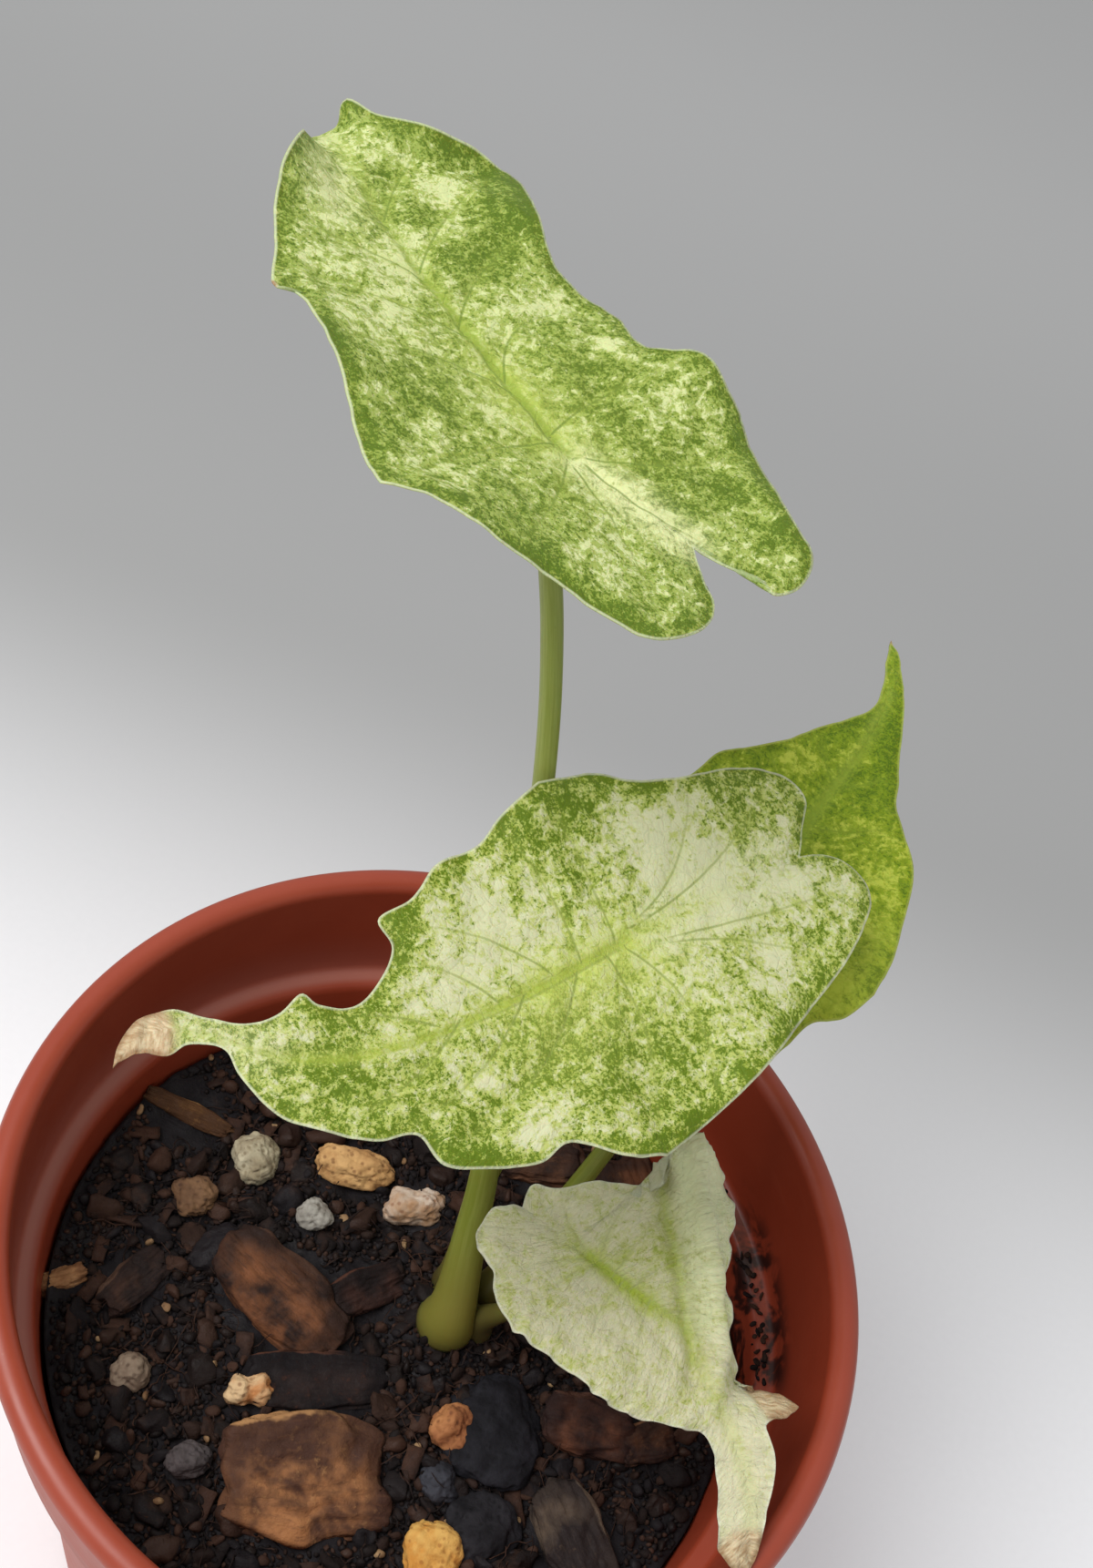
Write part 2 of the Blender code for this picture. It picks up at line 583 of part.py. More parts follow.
def midrib(blade):
    """The bent midrib as a table: y, the point there, the way across and the way out of the face."""
    step = 0.25
    y = np.arange(-40, 80 + step, step)
    knots = np.array(blade["bend"], dtype=float)
    window = np.ones(21) / 21
    pitch, heading = (np.convolve(np.pad(np.radians(np.interp(y, knots[:, 0], knots[:, k])), 10, mode="edge"),
                                  window, "valid") for k in (1, 2))
    along = np.stack([np.cos(pitch) * np.sin(heading), np.cos(pitch) * np.cos(heading), np.sin(pitch)], 1)
    out = np.stack([-np.sin(pitch) * np.sin(heading), -np.sin(pitch) * np.cos(heading), np.cos(pitch)], 1)
    path = np.cumsum(along, axis=0) * step
    path -= path[np.searchsorted(y, 0)]
    axes = blade_axes(blade)
    return y, np.array(blade["junction"]) + path @ axes, np.cross(along, out) @ axes, out @ axes


def rise_angle(blade, x, y):
    """How steeply the blade rises across at a flat point, in radians."""
    right = np.interp(np.abs(x), *np.array(blade["rise_right"], dtype=float).T)
    left = np.interp(np.abs(x), *np.array(blade["rise_left"], dtype=float).T)
    angle = np.where(x >= 0, right, left)
    for side, extra, start, steepest, last in blade["ears"]:
        stands = ease((y - start) / (steepest - start)) * (1 - ease((y - steepest) / (last - steepest)))
        angle = angle + np.where(x * side > 0, extra * stands, 0)
    for side, extra, x0, y0, x1, y1, width, end in blade["creases"]:
        dx, dy = x1 - x0, y1 - y0
        beyond = ((np.abs(x) - x0) * dy - (y - y0) * dx) / math.hypot(dx, dy)
        turned = extra * ease(beyond / width + 0.5) * (1 - ease((y - end) / FOLD_FADE))
        angle = angle + np.where(x * side > 0, turned, 0)
    return np.radians(angle)


def bend_points(blade, flat):
    """Carry flat points of a blade, in millimetres, to where they are in space."""
    x, y = flat[:, 0], flat[:, 1]
    table_y, points, across, out = midrib(blade)
    base, side, up = (np.stack([np.interp(y, table_y, grid[:, k]) for k in range(3)], 1)
                      for grid in (points, across, out))
    share = (np.arange(24) + 0.5) / 24
    angle = rise_angle(blade, x[:, None] * share[None], np.repeat(y[:, None], 24, 1))
    reach = np.cos(angle).mean(1) * x
    lift = np.sin(angle).mean(1) * np.abs(x)
    for sign, height, length, phase in blade["waves"]:
        wave = height * (np.abs(x) / 14) ** 2 * np.sin(2 * np.pi * (y / length + phase))
        lift = lift + np.where(x * sign > 0, wave, 0)
    return base + side * reach[:, None] + up * lift[:, None]


def half_margin(blade, side):
    """Margin points of one half, one for each rib, from the notch to the tip."""
    outline = [blade["spine"][0], *blade[side], blade["spine"][-1]]
    widest = max(range(len(outline)), key=lambda k: abs(outline[k][0]))
    lobe = smooth_curve(outline[:widest + 1], np.linspace(0, 1, LOBE_STATIONS + 1))
    tip = smooth_curve(outline[widest:], np.linspace(0, 1, TIP_STATIONS + 1))
    return np.vstack([lobe, tip[1:]])


def rib_feet(blade):
    """Points on the midrib where the ribs start: up the lobes' notch to the junction, then to the tip."""
    spine = blade["spine"]
    junction = spine.index((0, 0))
    lobe = smooth_curve(spine[:junction + 1], np.linspace(0, 1, LOBE_STATIONS + 1))
    tip = smooth_curve(spine[junction:], np.linspace(0, 1, TIP_STATIONS + 1) ** RIB_LEAN)
    return np.vstack([lobe, tip[1:]])


def make_blade(name, group):
    """One blade as an open sheet of ribs, given its thickness by Solidify."""
    blade = BLADES[name]
    rows = RIB_ROWS[name]
    feet = rib_feet(blade)
    last = len(feet) - 1
    shape = bmesh.new()
    on_spine = [shape.verts.new(p * MM) for p in bend_points(blade, feet)]
    for side in ("right", "left"):
        margin = half_margin(blade, side)
        ribs = []
        for k in range(last + 1):
            if k in (0, last):
                ribs.append([on_spine[k]] * (rows + 1))
                continue
            share = np.linspace(0, 1, rows + 1)[1:, None]
            flat = feet[k] + (margin[k] - feet[k]) * share
            ribs.append([on_spine[k], *[shape.verts.new(p * MM) for p in bend_points(blade, flat)]])
        for first, second in zip(ribs, ribs[1:]):
            for row in range(rows):
                corners = [first[row], first[row + 1], second[row + 1], second[row]]
                for triple in ((0, 1, 2), (0, 2, 3)):
                    face = list(dict.fromkeys(corners[k] for k in triple))
                    if len(face) == 3:
                        shape.faces.new(face if side == "right" else face[::-1])
    made = add_object(name, mesh_from_bmesh(name, shape), group, name)
    made.data.shade_smooth()
    solid = made.modifiers.new("thickness", "SOLIDIFY")
    solid.thickness = BLADE_THICKNESS * MM
    solid.offset = 0
    return made


def make_petiole(name, group):
    """A petiole that stands square on the crown and meets the underside of its blade square."""
    petiole = PETIOLES[name]
    blade = BLADES[petiole["blade"]]
    junction = np.array(blade["junction"])
    out = blade_axes(blade)[2]
    top = junction - out * (BLADE_THICKNESS / 2 + CLEARANCE)
    route = [*petiole["points"], tuple(junction - out * 3.0)]
    foot = (*route[0][:2], CROWN_TOP + CLEARANCE)
    middle = smooth_curve(route, np.linspace(0, 1, 13))
    curve = tube(name, [foot, *middle, top], petiole["radii"], PETIOLE_SIDES_RESOLUTION)
    return add_object(name, curve, group, "petiole")


def main():
    clear_scene()
    plant = collection("potted_alocasia")
    cutters = collection("cutters")
    make_pot(plant, cutters)
    beds = loose_pieces(plant, cutters)
    make_soil(plant, cutters, beds)
    make_rootstock(plant)
    for name in PETIOLES:
        make_petiole(name, plant)
    for name in BLADES:
        make_blade(name, plant)


main()
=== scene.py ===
# %% [markdown]
# # Potted alocasia
# A young variegated alocasia in a 9 cm nursery pot. The frame holds the plain solids at their real
# size. This lesson dresses each of them: fine leaf blades with veins and mottling, stalks, a moulded
# pot, loose potting mix, bark and pumice. Lengths are in millimetres until they go into a mesh.

# %% Frame
import math

import bmesh
import bpy
import numpy as np
from mathutils import Euler, Matrix, Vector, noise


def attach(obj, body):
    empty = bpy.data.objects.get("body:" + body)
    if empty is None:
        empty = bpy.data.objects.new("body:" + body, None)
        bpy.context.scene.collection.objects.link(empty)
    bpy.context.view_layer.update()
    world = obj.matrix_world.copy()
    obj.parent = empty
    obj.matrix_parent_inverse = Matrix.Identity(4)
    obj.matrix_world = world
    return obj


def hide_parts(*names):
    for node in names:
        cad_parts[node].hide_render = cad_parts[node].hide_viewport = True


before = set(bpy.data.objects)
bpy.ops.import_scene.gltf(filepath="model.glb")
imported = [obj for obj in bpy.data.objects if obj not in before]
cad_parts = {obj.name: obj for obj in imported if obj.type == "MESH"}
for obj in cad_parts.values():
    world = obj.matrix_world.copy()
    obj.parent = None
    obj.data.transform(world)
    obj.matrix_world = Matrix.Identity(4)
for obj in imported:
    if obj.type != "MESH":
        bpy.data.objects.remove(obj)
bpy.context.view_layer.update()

MM = 0.001
print("solids:", sorted(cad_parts))

# %% [markdown]
# ## Camera
# The photograph looks down on the plant from the front, turned a little. A camera is placed by one
# matrix: move it, tip it back from straight down, then turn it about its own axis. An
# object is made of its data, such as a lens or a mesh, and has to be linked into the scene to count.

# %% Camera
CAMERA_PLACE = (-7.96, -100.42, 270.38)
CAMERA_TILT = math.radians(40.106)
CAMERA_ROLL = math.radians(23.023)
FOCAL_PIXELS = 2300.0
IMAGE_HEIGHT = 1722
SENSOR = 36.0


def link_object(name, data):
    """Put a mesh, a lens or a lamp in the scene, as an object at the origin."""
    made = bpy.data.objects.new(name, data)
    bpy.context.scene.collection.objects.link(made)
    return made


lens = bpy.data.cameras.new("camera")
lens.sensor_width = SENSOR
lens.lens = FOCAL_PIXELS / IMAGE_HEIGHT * SENSOR
lens.clip_start = 0.01
camera = link_object("camera", lens)
camera.matrix_world = (Matrix.Translation(Vector(CAMERA_PLACE) * MM)
                       @ Matrix.Rotation(CAMERA_TILT, 4, "X") @ Matrix.Rotation(CAMERA_ROLL, 4, "Z"))
bpy.context.scene.camera = camera
print("lens", round(lens.lens, 2), "mm")

# %% [markdown]
# ## Node helpers
# A material and a Geometry Nodes tree are both made of nodes and links. One helper adds a node, sets
# its options and feeds its inputs, so that a pattern can be written as short nested calls.

# %% Node helpers
def put(tree, kind, inputs=None, **options):
    """Add a node, set its options, and give its inputs values or other nodes' outputs."""
    made = tree.nodes.new(kind)
    for key, value in options.items():
        setattr(made, key, value)
    for key, value in (inputs or {}).items():
        if isinstance(value, bpy.types.NodeSocket):
            tree.links.new(value, made.inputs[key])
        else:
            made.inputs[key].default_value = value
    return made


class Finish:
    """A Principled material, with short calls for the nodes that its pattern needs."""

    def __init__(self, name, **sockets):
        self.material = bpy.data.materials.new(name)
        self.material.use_nodes = True
        self.tree = self.material.node_tree
        self.shader = self.tree.nodes["Principled BSDF"]
        for key, value in sockets.items():
            self.shader.inputs[key.replace("_", " ")].default_value = value

    def drive(self, key, socket):
        """Feed one of the shader's inputs from the pattern."""
        self.tree.links.new(socket, self.shader.inputs[key])

    def place(self):
        """The place on the object, in metres."""
        return put(self.tree, "ShaderNodeTexCoord").outputs["Object"]

    def attribute(self, name):
        """A vector that the mesh carries at its points, and its three parts."""
        vector = put(self.tree, "ShaderNodeAttribute", attribute_name=name).outputs["Vector"]
        parts = put(self.tree, "ShaderNodeSeparateXYZ", {0: vector})
        return vector, *parts.outputs

    def stretch(self, vector, scale, shift=(0, 0, 0)):
        """The vector scaled along each axis, for a pattern that is longer one way."""
        inputs = {"Vector": vector, "Scale": scale, "Location": shift}
        return put(self.tree, "ShaderNodeMapping", inputs).outputs[0]

    def noise(self, vector, scale, detail=3.0, roughness=0.55, distortion=0.0):
        """Soft noise between 0 and 1; scale is spots for each unit."""
        inputs = {"Vector": vector, "Scale": scale, "Detail": detail, "Roughness": roughness,
                  "Distortion": distortion}
        return put(self.tree, "ShaderNodeTexNoise", inputs).outputs["Fac"]

    def cells(self, vector, scale, feature="F1"):
        """Cells: the distance to their middles or to their edges."""
        inputs = {"Vector": vector, "Scale": scale}
        return put(self.tree, "ShaderNodeTexVoronoi", inputs, feature=feature).outputs["Distance"]

    def math(self, operation, *parts):
        """One operation on numbers, from left to right where there are more than two."""
        made = parts[0]
        for part in parts[1:] or [0.0]:
            made = put(self.tree, "ShaderNodeMath", {0: made, 1: part}, operation=operation).outputs[0]
        return made

    def times(self, *parts):
        """The product of several numbers."""
        return self.math("MULTIPLY", *parts)

    def step(self, value, low, high, to_low=0.0, to_high=1.0):
        """A smooth step from low to high."""
        inputs = {"Value": value, "From Min": low, "From Max": high, "To Min": to_low, "To Max": to_high}
        return put(self.tree, "ShaderNodeMapRange", inputs, interpolation_type="SMOOTHSTEP").outputs[0]

    def window(self, value, start, full, thin, end):
        """1 where a value lies between full and thin, with smooth steps to 0 at start and end."""
        return self.times(self.step(value, start, full), self.step(value, end, thin))

    def mix(self, share, first, second):
        """A mix of two colours."""
        return put(self.tree, "ShaderNodeMix", {0: share, 6: first, 7: second}, data_type="RGBA").outputs[2]

    def bump(self, height, depth, under=None):
        """A bump of the given depth in millimetres, laid over another."""
        inputs = {"Height": height, "Distance": depth * MM, "Strength": 1.0}
        if under:
            inputs["Normal"] = under
        return put(self.tree, "ShaderNodeBump", inputs).outputs[0]


def colour(red, green, blue):
    """A colour picked as screen values from 0 to 255, made linear as the shader needs it."""
    share = np.array([red, green, blue]) / 255.0
    linear = np.where(share <= 0.04045, share / 12.92, ((share + 0.055) / 1.055) ** 2.4)
    return (*[float(v) for v in linear], 1.0)


def add_mesh(name, vertices, faces):
    """A smooth mesh object at the origin, from points in millimetres."""
    mesh = bpy.data.meshes.new(name)
    mesh.from_pydata((np.asarray(vertices) * MM).tolist(), [], [list(face) for face in faces])
    mesh.update()
    mesh.shade_smooth()
    return link_object(name, mesh)


def carry(piece, name, values):
    """Store a vector at each point of a mesh, for its material to read."""
    made = piece.data.attributes.new(name, "FLOAT_VECTOR", "POINT")
    made.data.foreach_set("vector", np.asarray(values, np.float32).ravel())


def hand_in(piece, material, slot, *nodes):
    """Give a finished piece its material and body, and hide the solids that it stands for; the slot is not
    used.
    """
    piece.data.materials.clear()
    piece.data.materials.append(material)
    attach(piece, "root")
    if nodes:
        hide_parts(*nodes)
    faces = sum(len(face.vertices) - 2 for face in piece.data.polygons)
    print(piece.name, faces, "triangles, stands for", nodes or "no solid")


# %% [markdown]
# ## Floor and light
# The plant is lit as in a light tent: it stands on a pale sheet, with one big soft lamp above its left
# side and soft light from all round, as from paper. The sheet's colour holds painted light: near white in
# front of the pot and greyer behind it, blended along its depth with two smooth steps, as the lamp's falloff.

# %% Floor and light
FLOOR_SIZE = 6000.0
FLOOR_DROP = 0.1
FLOOR_TURN = math.radians(4)
FLOOR_PAINTED_FALLOFF = (22.0, 148.0)
FLOOR_PAINTED_FALLOFF_RETURN = (200.0, 360.0)
LAMP_PLACE = (-370, -190, 720)
LAMP_AIM = (20, -30, 60)
LAMP_SIZE = 520.0
LAMP_POWER = 1.38
LAMP_SPREAD = math.radians(95)
ROOM_LIGHT = 0.6

floor_corners = [(x * FLOOR_SIZE / 2, y * FLOOR_SIZE / 2, -FLOOR_DROP)
                 for x, y in ((-1, -1), (1, -1), (1, 1), (-1, 1))]
floor = add_mesh("floor", floor_corners, [(0, 1, 2, 3)])
sheet = Finish("pale_sheet", Roughness=0.9, Specular_IOR_Level=0.1)
sheet_place = sheet.place()
away = (-math.sin(FLOOR_TURN), math.cos(FLOOR_TURN), 0)
sheet_depth = put(sheet.tree, "ShaderNodeVectorMath", {0: sheet_place, 1: away},
                  operation="DOT_PRODUCT").outputs["Value"]
# Painted light: the sheet is near white by the pot and greyer farther back, as the lamp's falloff
painted_light_floor = sheet.mix(sheet.noise(sheet_place, 900.0, 2.0), colour(248, 248, 249), colour(252, 252, 253))
for (near, far), shade in ((FLOOR_PAINTED_FALLOFF, colour(168, 168, 167)), (FLOOR_PAINTED_FALLOFF_RETURN, colour(182, 182, 181))):
    painted_light_floor = sheet.mix(sheet.step(sheet_depth, near * MM, far * MM), painted_light_floor, shade)
sheet.drive("Base Color", painted_light_floor)
floor.data.materials.append(sheet.material)

lamp = bpy.data.lights.new("soft_lamp", "AREA")
lamp.shape = "DISK"
lamp.size = LAMP_SIZE * MM
lamp.energy = LAMP_POWER
lamp.spread = LAMP_SPREAD
lamp_object = link_object("soft_lamp", lamp)
lamp_object.location = Vector(LAMP_PLACE) * MM
lamp_object.rotation_euler = (Vector(LAMP_AIM) - Vector(LAMP_PLACE)).to_track_quat("-Z", "Y").to_euler()

world = bpy.data.worlds.new("tent")
world.use_nodes = True
paper_light = world.node_tree.nodes["Background"].inputs
paper_light["Color"].default_value = (0.97, 0.98, 1.0, 1.0)
paper_light["Strength"].default_value = ROOM_LIGHT
bpy.context.scene.world = world
bpy.context.scene.view_settings.view_transform = "Standard"
print("lamp", LAMP_SIZE, "mm wide,", LAMP_POWER, "W; light from the paper", ROOM_LIGHT)

# %% [markdown]
# ## Blade shapes
# Each leaf is drawn flat and then bent, as in the plain solids: x runs across the leaf, y from the
# petiole's junction to the tip. The midrib, the bends and the outline are those of the solids, so a
# fine blade lies on its solid. Only two corners are drawn sharper here: the top blade's, beside its
# tip, and the small blade's dry one. The veins are added here, each from a foot on the midrib to an
# end near the margin, with its bow to the right of the way it runs.

# %% Blade tables
BLADES = {
    "blade_top": {
        "junction": (-17.8, 30.1, 155.4),
        "yaw": 148, "pitch": 2, "roll": -7,
        "bend": [(-20, 3, -6), (0, 0, 0), (26, -1, 11), (37.8, -4, 13), (42, -28, 14), (48, -55, 15),
                 (56, -85, 16)],
        "rise_right": [(0, 5), (8, 6), (14, 12)],
        "rise_left": [(0, 5), (8, 6), (14, 12)],
        "ears": [(1, 33, 34.3, 42.4, 47), (-1, 46, 28, 41.9, 46)],
        "creases": [],
        "waves": [(1, 0.7, 22, 0.1), (-1, 0.7, 20, 0.55)],
        "spine": [(3.4, -13.6), (1.9, -7), (0, 0), (0.4, 14), (0, 28), (1.2, 40), (3, 53)],
        "right": [(4.5, -16.5), (6.2, -19), (6.2, -20.8), (9, -21.5), (12, -20), (13, -16.5), (15.5, -11),
                  (18.4, -4), (18.4, 2.5), (16, 5), (14.6, 7.4), (15.6, 12), (14, 16.5), (13.3, 20.5),
                  (14.7, 27), (15.8, 31), (16, 33.8), (14.2, 36.2), (11.2, 37.8), (7.8, 39.7), (6, 41.4),
                  (5.4, 42.6), (5.3, 42.8), (5.1, 42.9), (4.3, 43.5), (4, 45.5)],
        "left": [(1.7, -16.5), (0.9, -18.5), (-1, -19.8), (-4, -20.1), (-8, -19), (-10, -16.2),
                 (-12.5, -11.4), (-15.5, -7.4), (-18.5, -2.2), (-20.8, 0), (-19.2, 3.3), (-16.7, 9),
                 (-15.2, 14.3), (-14.3, 19), (-15.9, 20.2), (-12.8, 25), (-10.5, 30), (-8.1, 34.7),
                 (-3.5, 40), (-1, 44)],
        "veins": [(0.3, 8, 12.5, 14, -2.5), (0.4, 1.5, 16.5, 2.5, -1.2), (0.2, 15, 12, 24, -1),
                  (0.3, 22, 13, 33, -0.8), (0.4, 29, 9, 38.5, -0.5), (0.6, -1.5, 15, -8, 0.8),
                  (0.8, -2, 8, -19.5, 1.2), (-0.2, 7, -13.5, 14, 1.8), (-0.2, 0.5, -18, 0, 1),
                  (-0.2, 14, -13, 22, 1), (0, 21, -10.5, 29, 0.8), (0, 28, -6, 37.5, 0.5),
                  (-0.4, -1.5, -14, -8, -1), (-0.4, -2, -6, -18, -1)],
    },
    "blade_middle": {
        "junction": (3.4, 11.2, 121.2),
        "yaw": 235, "pitch": -3, "roll": 13,
        "bend": [(-25, 6, 3), (0, 0, 0), (20, -1, 7), (32, -5, 16), (40, -14, 30), (46, -8, 34)],
        "rise_right": [(0, 2), (8, 3), (14, 6)],
        "rise_left": [(0, 2), (8, 3), (14, 6)],
        "ears": [],
        "creases": [],
        "waves": [(1, 0.6, 15, 0.2), (-1, 0.7, 17, 0.6)],
        "spine": [(-0.3, -22.3), (-0.3, -10), (0, 0), (-0.5, 14), (-0.2, 26), (1.6, 33), (3.6, 37.5),
                  (4.6, 42), (3.6, 45), (1.2, 46.7)],
        "right": [(1.9, -24.3), (4.6, -26.4), (7.7, -25.1), (10, -21), (11.2, -14.2), (12.9, -9.8),
                  (15.1, -6.9), (16.2, -1), (15, 4), (13.5, 7.5), (13.3, 12.3), (11.2, 16.3), (10.6, 20),
                  (7.9, 19.8), (5.6, 22.1), (4.1, 25.2), (5, 28.3), (6.3, 29.6), (5.1, 32), (4.7, 35),
                  (5.6, 39), (6.3, 42), (5.3, 45), (3.2, 46.4)],
        "left": [(-1.1, -25), (-3.7, -27.4), (-7, -27), (-10.6, -21.3), (-13.2, -14.8), (-16, -5.3),
                 (-17.4, 1), (-18.2, 6.5), (-16.6, 10), (-13.5, 13.2), (-13.9, 16), (-12.7, 19.6),
                 (-11, 23), (-7.9, 24.2), (-7.3, 27.5), (-5.3, 31), (-3.2, 34), (0.5, 36.4), (2.8, 37.5),
                 (3.4, 40.5), (2.4, 42.3), (2.6, 44.4), (1.8, 46.2)],
        "veins": [(0.6, 7.3, 8.9, 17.5, 1.3), (0.5, 0, 12.5, -1.2, 0.2), (1.2, -3, 9, -14, 1.5),
                  (0.8, -2, 7.8, -23.5, 1.8), (0.2, 13, 6.3, 19.5, 0.8), (0.2, 19, 3.5, 27, 0.6),
                  (0.3, 4, 13.5, 4.5, 0.8), (-0.6, 5, -9.3, 19.5, -1.5), (-0.8, -0.6, -15.2, -0.6, -2.1),
                  (-1.5, -3, -10, -18.5, -1), (-1.2, -3, -5, -25, 0.4), (-0.4, 10.5, -7, 24, -1),
                  (-0.2, 17, -5, 29, -0.8), (-0.5, 1.5, -15.5, 6, -1.5)],
    },
    "blade_rear": {
        "junction": (15.9, 30.9, 109.0),
        "yaw": 80, "pitch": 8, "roll": 2,
        "bend": [(-25, 4, 0), (0, 0, 0), (20, -2, 5), (35, -4, -6), (45, -20, -10)],
        "rise_right": [(0, 7), (8, 8), (14, 10)],
        "rise_left": [(0, 7), (8, 8), (14, 10)],
        "ears": [],
        "creases": [],
        "waves": [(1, 0.6, 16, 0.3), (-1, 0.6, 18, 0.1)],
        "spine": [(0, -11.5), (0, 0), (-0.2, 14), (0.2, 26), (-0.5, 34), (-2.2, 40.6)],
        "right": [(1.5, -14), (4, -18.5), (7.5, -17), (9.3, -12), (10.4, -8.4), (12.9, -6.4), (14.3, -3),
                  (14.3, 2), (13, 9), (11.6, 13), (9.4, 16), (6.4, 19.8), (5.3, 22.5), (3.9, 25.5),
                  (1.3, 33.5), (-0.8, 38.7)],
        "left": [(-1.3, -13), (-3.5, -15.2), (-6.8, -14.6), (-9.6, -11), (-12.3, -6.5), (-14.5, -1),
                 (-13.8, 5), (-12.5, 10.2), (-11.9, 13.1), (-10, 15.3), (-7.1, 19), (-5.2, 23),
                 (-3.7, 25.5), (-1.2, 30), (-1.3, 34), (-1.9, 37)],
        "veins": [(0.2, 6, 11, 12, 1), (0.2, 0, 13, 2, 1), (0, 12, 8, 17.5, 0.8), (0, 18, 4.5, 23.5, 0.5),
                  (0.3, -2, 6, -16, 1), (0.3, -1, 12, -5.5, 0.8), (-0.2, 6, -11, 12, -1),
                  (-0.2, 0, -13, 2, -1), (0, 12, -7.5, 17, -0.8), (0, 18, -4.5, 23, -0.5),
                  (-0.3, -2, -6, -13.5, -1), (-0.3, -1, -11.5, -5, -0.8)],
    },
    "blade_small": {
        "junction": (14.9, 0.1, 87.0),
        "yaw": -28, "pitch": -4, "roll": 0,
        "bend": [(-20, 4, 0), (0, 0, 0), (10, -2, 2), (17, -12, 20), (24, -16, 32), (34, -16, 32)],
        "rise_right": [(0, 4), (14, 8)],
        "rise_left": [(0, 8), (6, 20)],
        "ears": [],
        "creases": [(-1, 10, 12.3, -5, 0.4, 15, 1.6, 14), (-1, -60, 17.2, -5, 3.2, 15, 1.4, 15)],
        "waves": [(1, 0.5, 9, 0.2), (-1, 0.5, 8, 0.5)],
        "spine": [(2.4, -8.7), (0.9, -3.8), (0, 0), (-1.6, 6.2), (-3, 10), (-2, 15), (-2.6, 20),
                  (-3.3, 25), (-2.4, 31.8)],
        "right": [(3.2, -9.6), (4.7, -10.5), (7, -9.9), (8.9, -8.9), (9.7, -5.4), (11.4, -3.2),
                  (12.2, 0), (11.1, 3.2), (10, 6.3), (9.5, 9.4), (8.2, 12.8), (6.4, 15.3), (4.7, 16.5),
                  (2, 18.2), (0, 19.1), (-0.5, 21.5), (-0.2, 25.7), (0.2, 29.2), (-0.8, 31.4)],
        "left": [(1.1, -9.5), (-0.4, -9.8), (-2.3, -7.9), (-5.5, -6.1), (-8.3, -3.1), (-10, -1.6),
                 (-12.8, -3.2), (-15.1, -3.3), (-17.4, -1.9), (-18.8, 0.5), (-18.2, 3.4), (-15.9, 5.3),
                 (-12.9, 7.1), (-10.7, 8.8), (-9.3, 10.6), (-7.1, 12.9), (-6.5, 16.2), (-7.3, 16.7),
                 (-9.0, 17.9), (-9.9, 19.0), (-9.9, 19.1), (-8.4, 19.4), (-6.2, 19.7), (-6.3, 22.7),
                 (-4.8, 27), (-3.4, 30.6)],
        "veins": [(-0.8, 3, 9, 7.5, 1), (0, 0, 11, 0, 0.8), (-1.8, 6, 6.5, 14, 1),
                  (0.3, -1, 7.5, -9.3, 0.8), (0.2, -0.5, 10, -5, 0.6), (-0.4, 2, -13, 1.5, -0.8),
                  (-1, 4, -11.5, 7, -0.8),
                  (-2.4, 8, -6.5, 12, -0.5), (0, -0.5, -1.8, -7.5, -0.6), (-0.3, 0, -8.5, -2.8, -0.6)],
    },
}

print("veins drawn:", {name: len(blade["veins"]) for name, blade in BLADES.items()})

# %% [markdown]
# ## Bending a flat leaf
# A leaf is a sheet that bends along its midrib and folds a little across it. Modelling it by hand
# would lose the real outline, so each flat point is carried along a bent midrib table and then out
# along a rising rib. Functions like these made the plain solids, with fewer points. Here the folds are
# crisper, and the ears start a little way off the midrib.

# %% Bending functions
FOLD_FADE = 5.0
EAR_START = 2.6
FOLD_CRISPNESS = 0.5
RIB_SAMPLES = 24


def ease(t):
    """A smooth step from 0 to 1."""
    t = np.clip(t, 0.0, 1.0)
    return t * t * (3 - 2 * t)


def smooth_curve(points, fractions):
    """Points at fractions of the length of a Catmull-Rom curve through the given points."""
    known = np.array(points, dtype=float)
    padded = np.vstack([2 * known[0] - known[1], known, 2 * known[-1] - known[-2]])
    fine = []
    for a, b, c, d in zip(padded, padded[1:], padded[2:], padded[3:]):
        for t in np.linspace(0, 1, 12, endpoint=False):
            fine.append(0.5 * (2 * b + (c - a) * t + (2 * a - 5 * b + 4 * c - d) * t * t
                               + (3 * b - a - 3 * c + d) * t ** 3))
    fine = np.array([*fine, known[-1]])
    length = np.concatenate([[0], np.cumsum(np.linalg.norm(np.diff(fine, axis=0), axis=1))])
    at = np.asarray(fractions) * length[-1]
    return np.stack([np.interp(at, length, fine[:, k]) for k in range(fine.shape[1])], axis=1)


def blade_axes(blade):
    """Unit vectors at the junction: across to the right, along to the tip, and out of the face."""
    yaw, pitch, roll = (math.radians(blade[key]) for key in ("yaw", "pitch", "roll"))
    along = np.array([math.cos(yaw) * math.cos(pitch), math.sin(yaw) * math.cos(pitch), math.sin(pitch)])
    level = np.cross(along, [0, 0, 1])
    level /= np.linalg.norm(level)
    out = np.cross(level, along)
    across = level * math.cos(roll) + out * math.sin(roll)
    return np.array([across, along, out * math.cos(roll) - level * math.sin(roll)])


def midrib(blade):
    """The bent midrib as a table: y, the point there, the way across and the way out of the face."""
    step = 0.25
    y = np.arange(-40, 80 + step, step)
    knots = np.array(blade["bend"], dtype=float)
    bends = [np.pad(np.radians(np.interp(y, knots[:, 0], knots[:, k])), 10, mode="edge") for k in (1, 2)]
    pitch, heading = (np.convolve(bend, np.ones(21) / 21, "valid") for bend in bends)
    along = np.stack([np.cos(pitch) * np.sin(heading), np.cos(pitch) * np.cos(heading), np.sin(pitch)], 1)
    out = np.stack([-np.sin(pitch) * np.sin(heading), -np.sin(pitch) * np.cos(heading), np.cos(pitch)], 1)
    path = np.cumsum(along, axis=0) * step
    path -= path[np.searchsorted(y, 0)]
    axes = blade_axes(blade)
    return y, np.array(blade["junction"]) + path @ axes, np.cross(along, out) @ axes, out @ axes


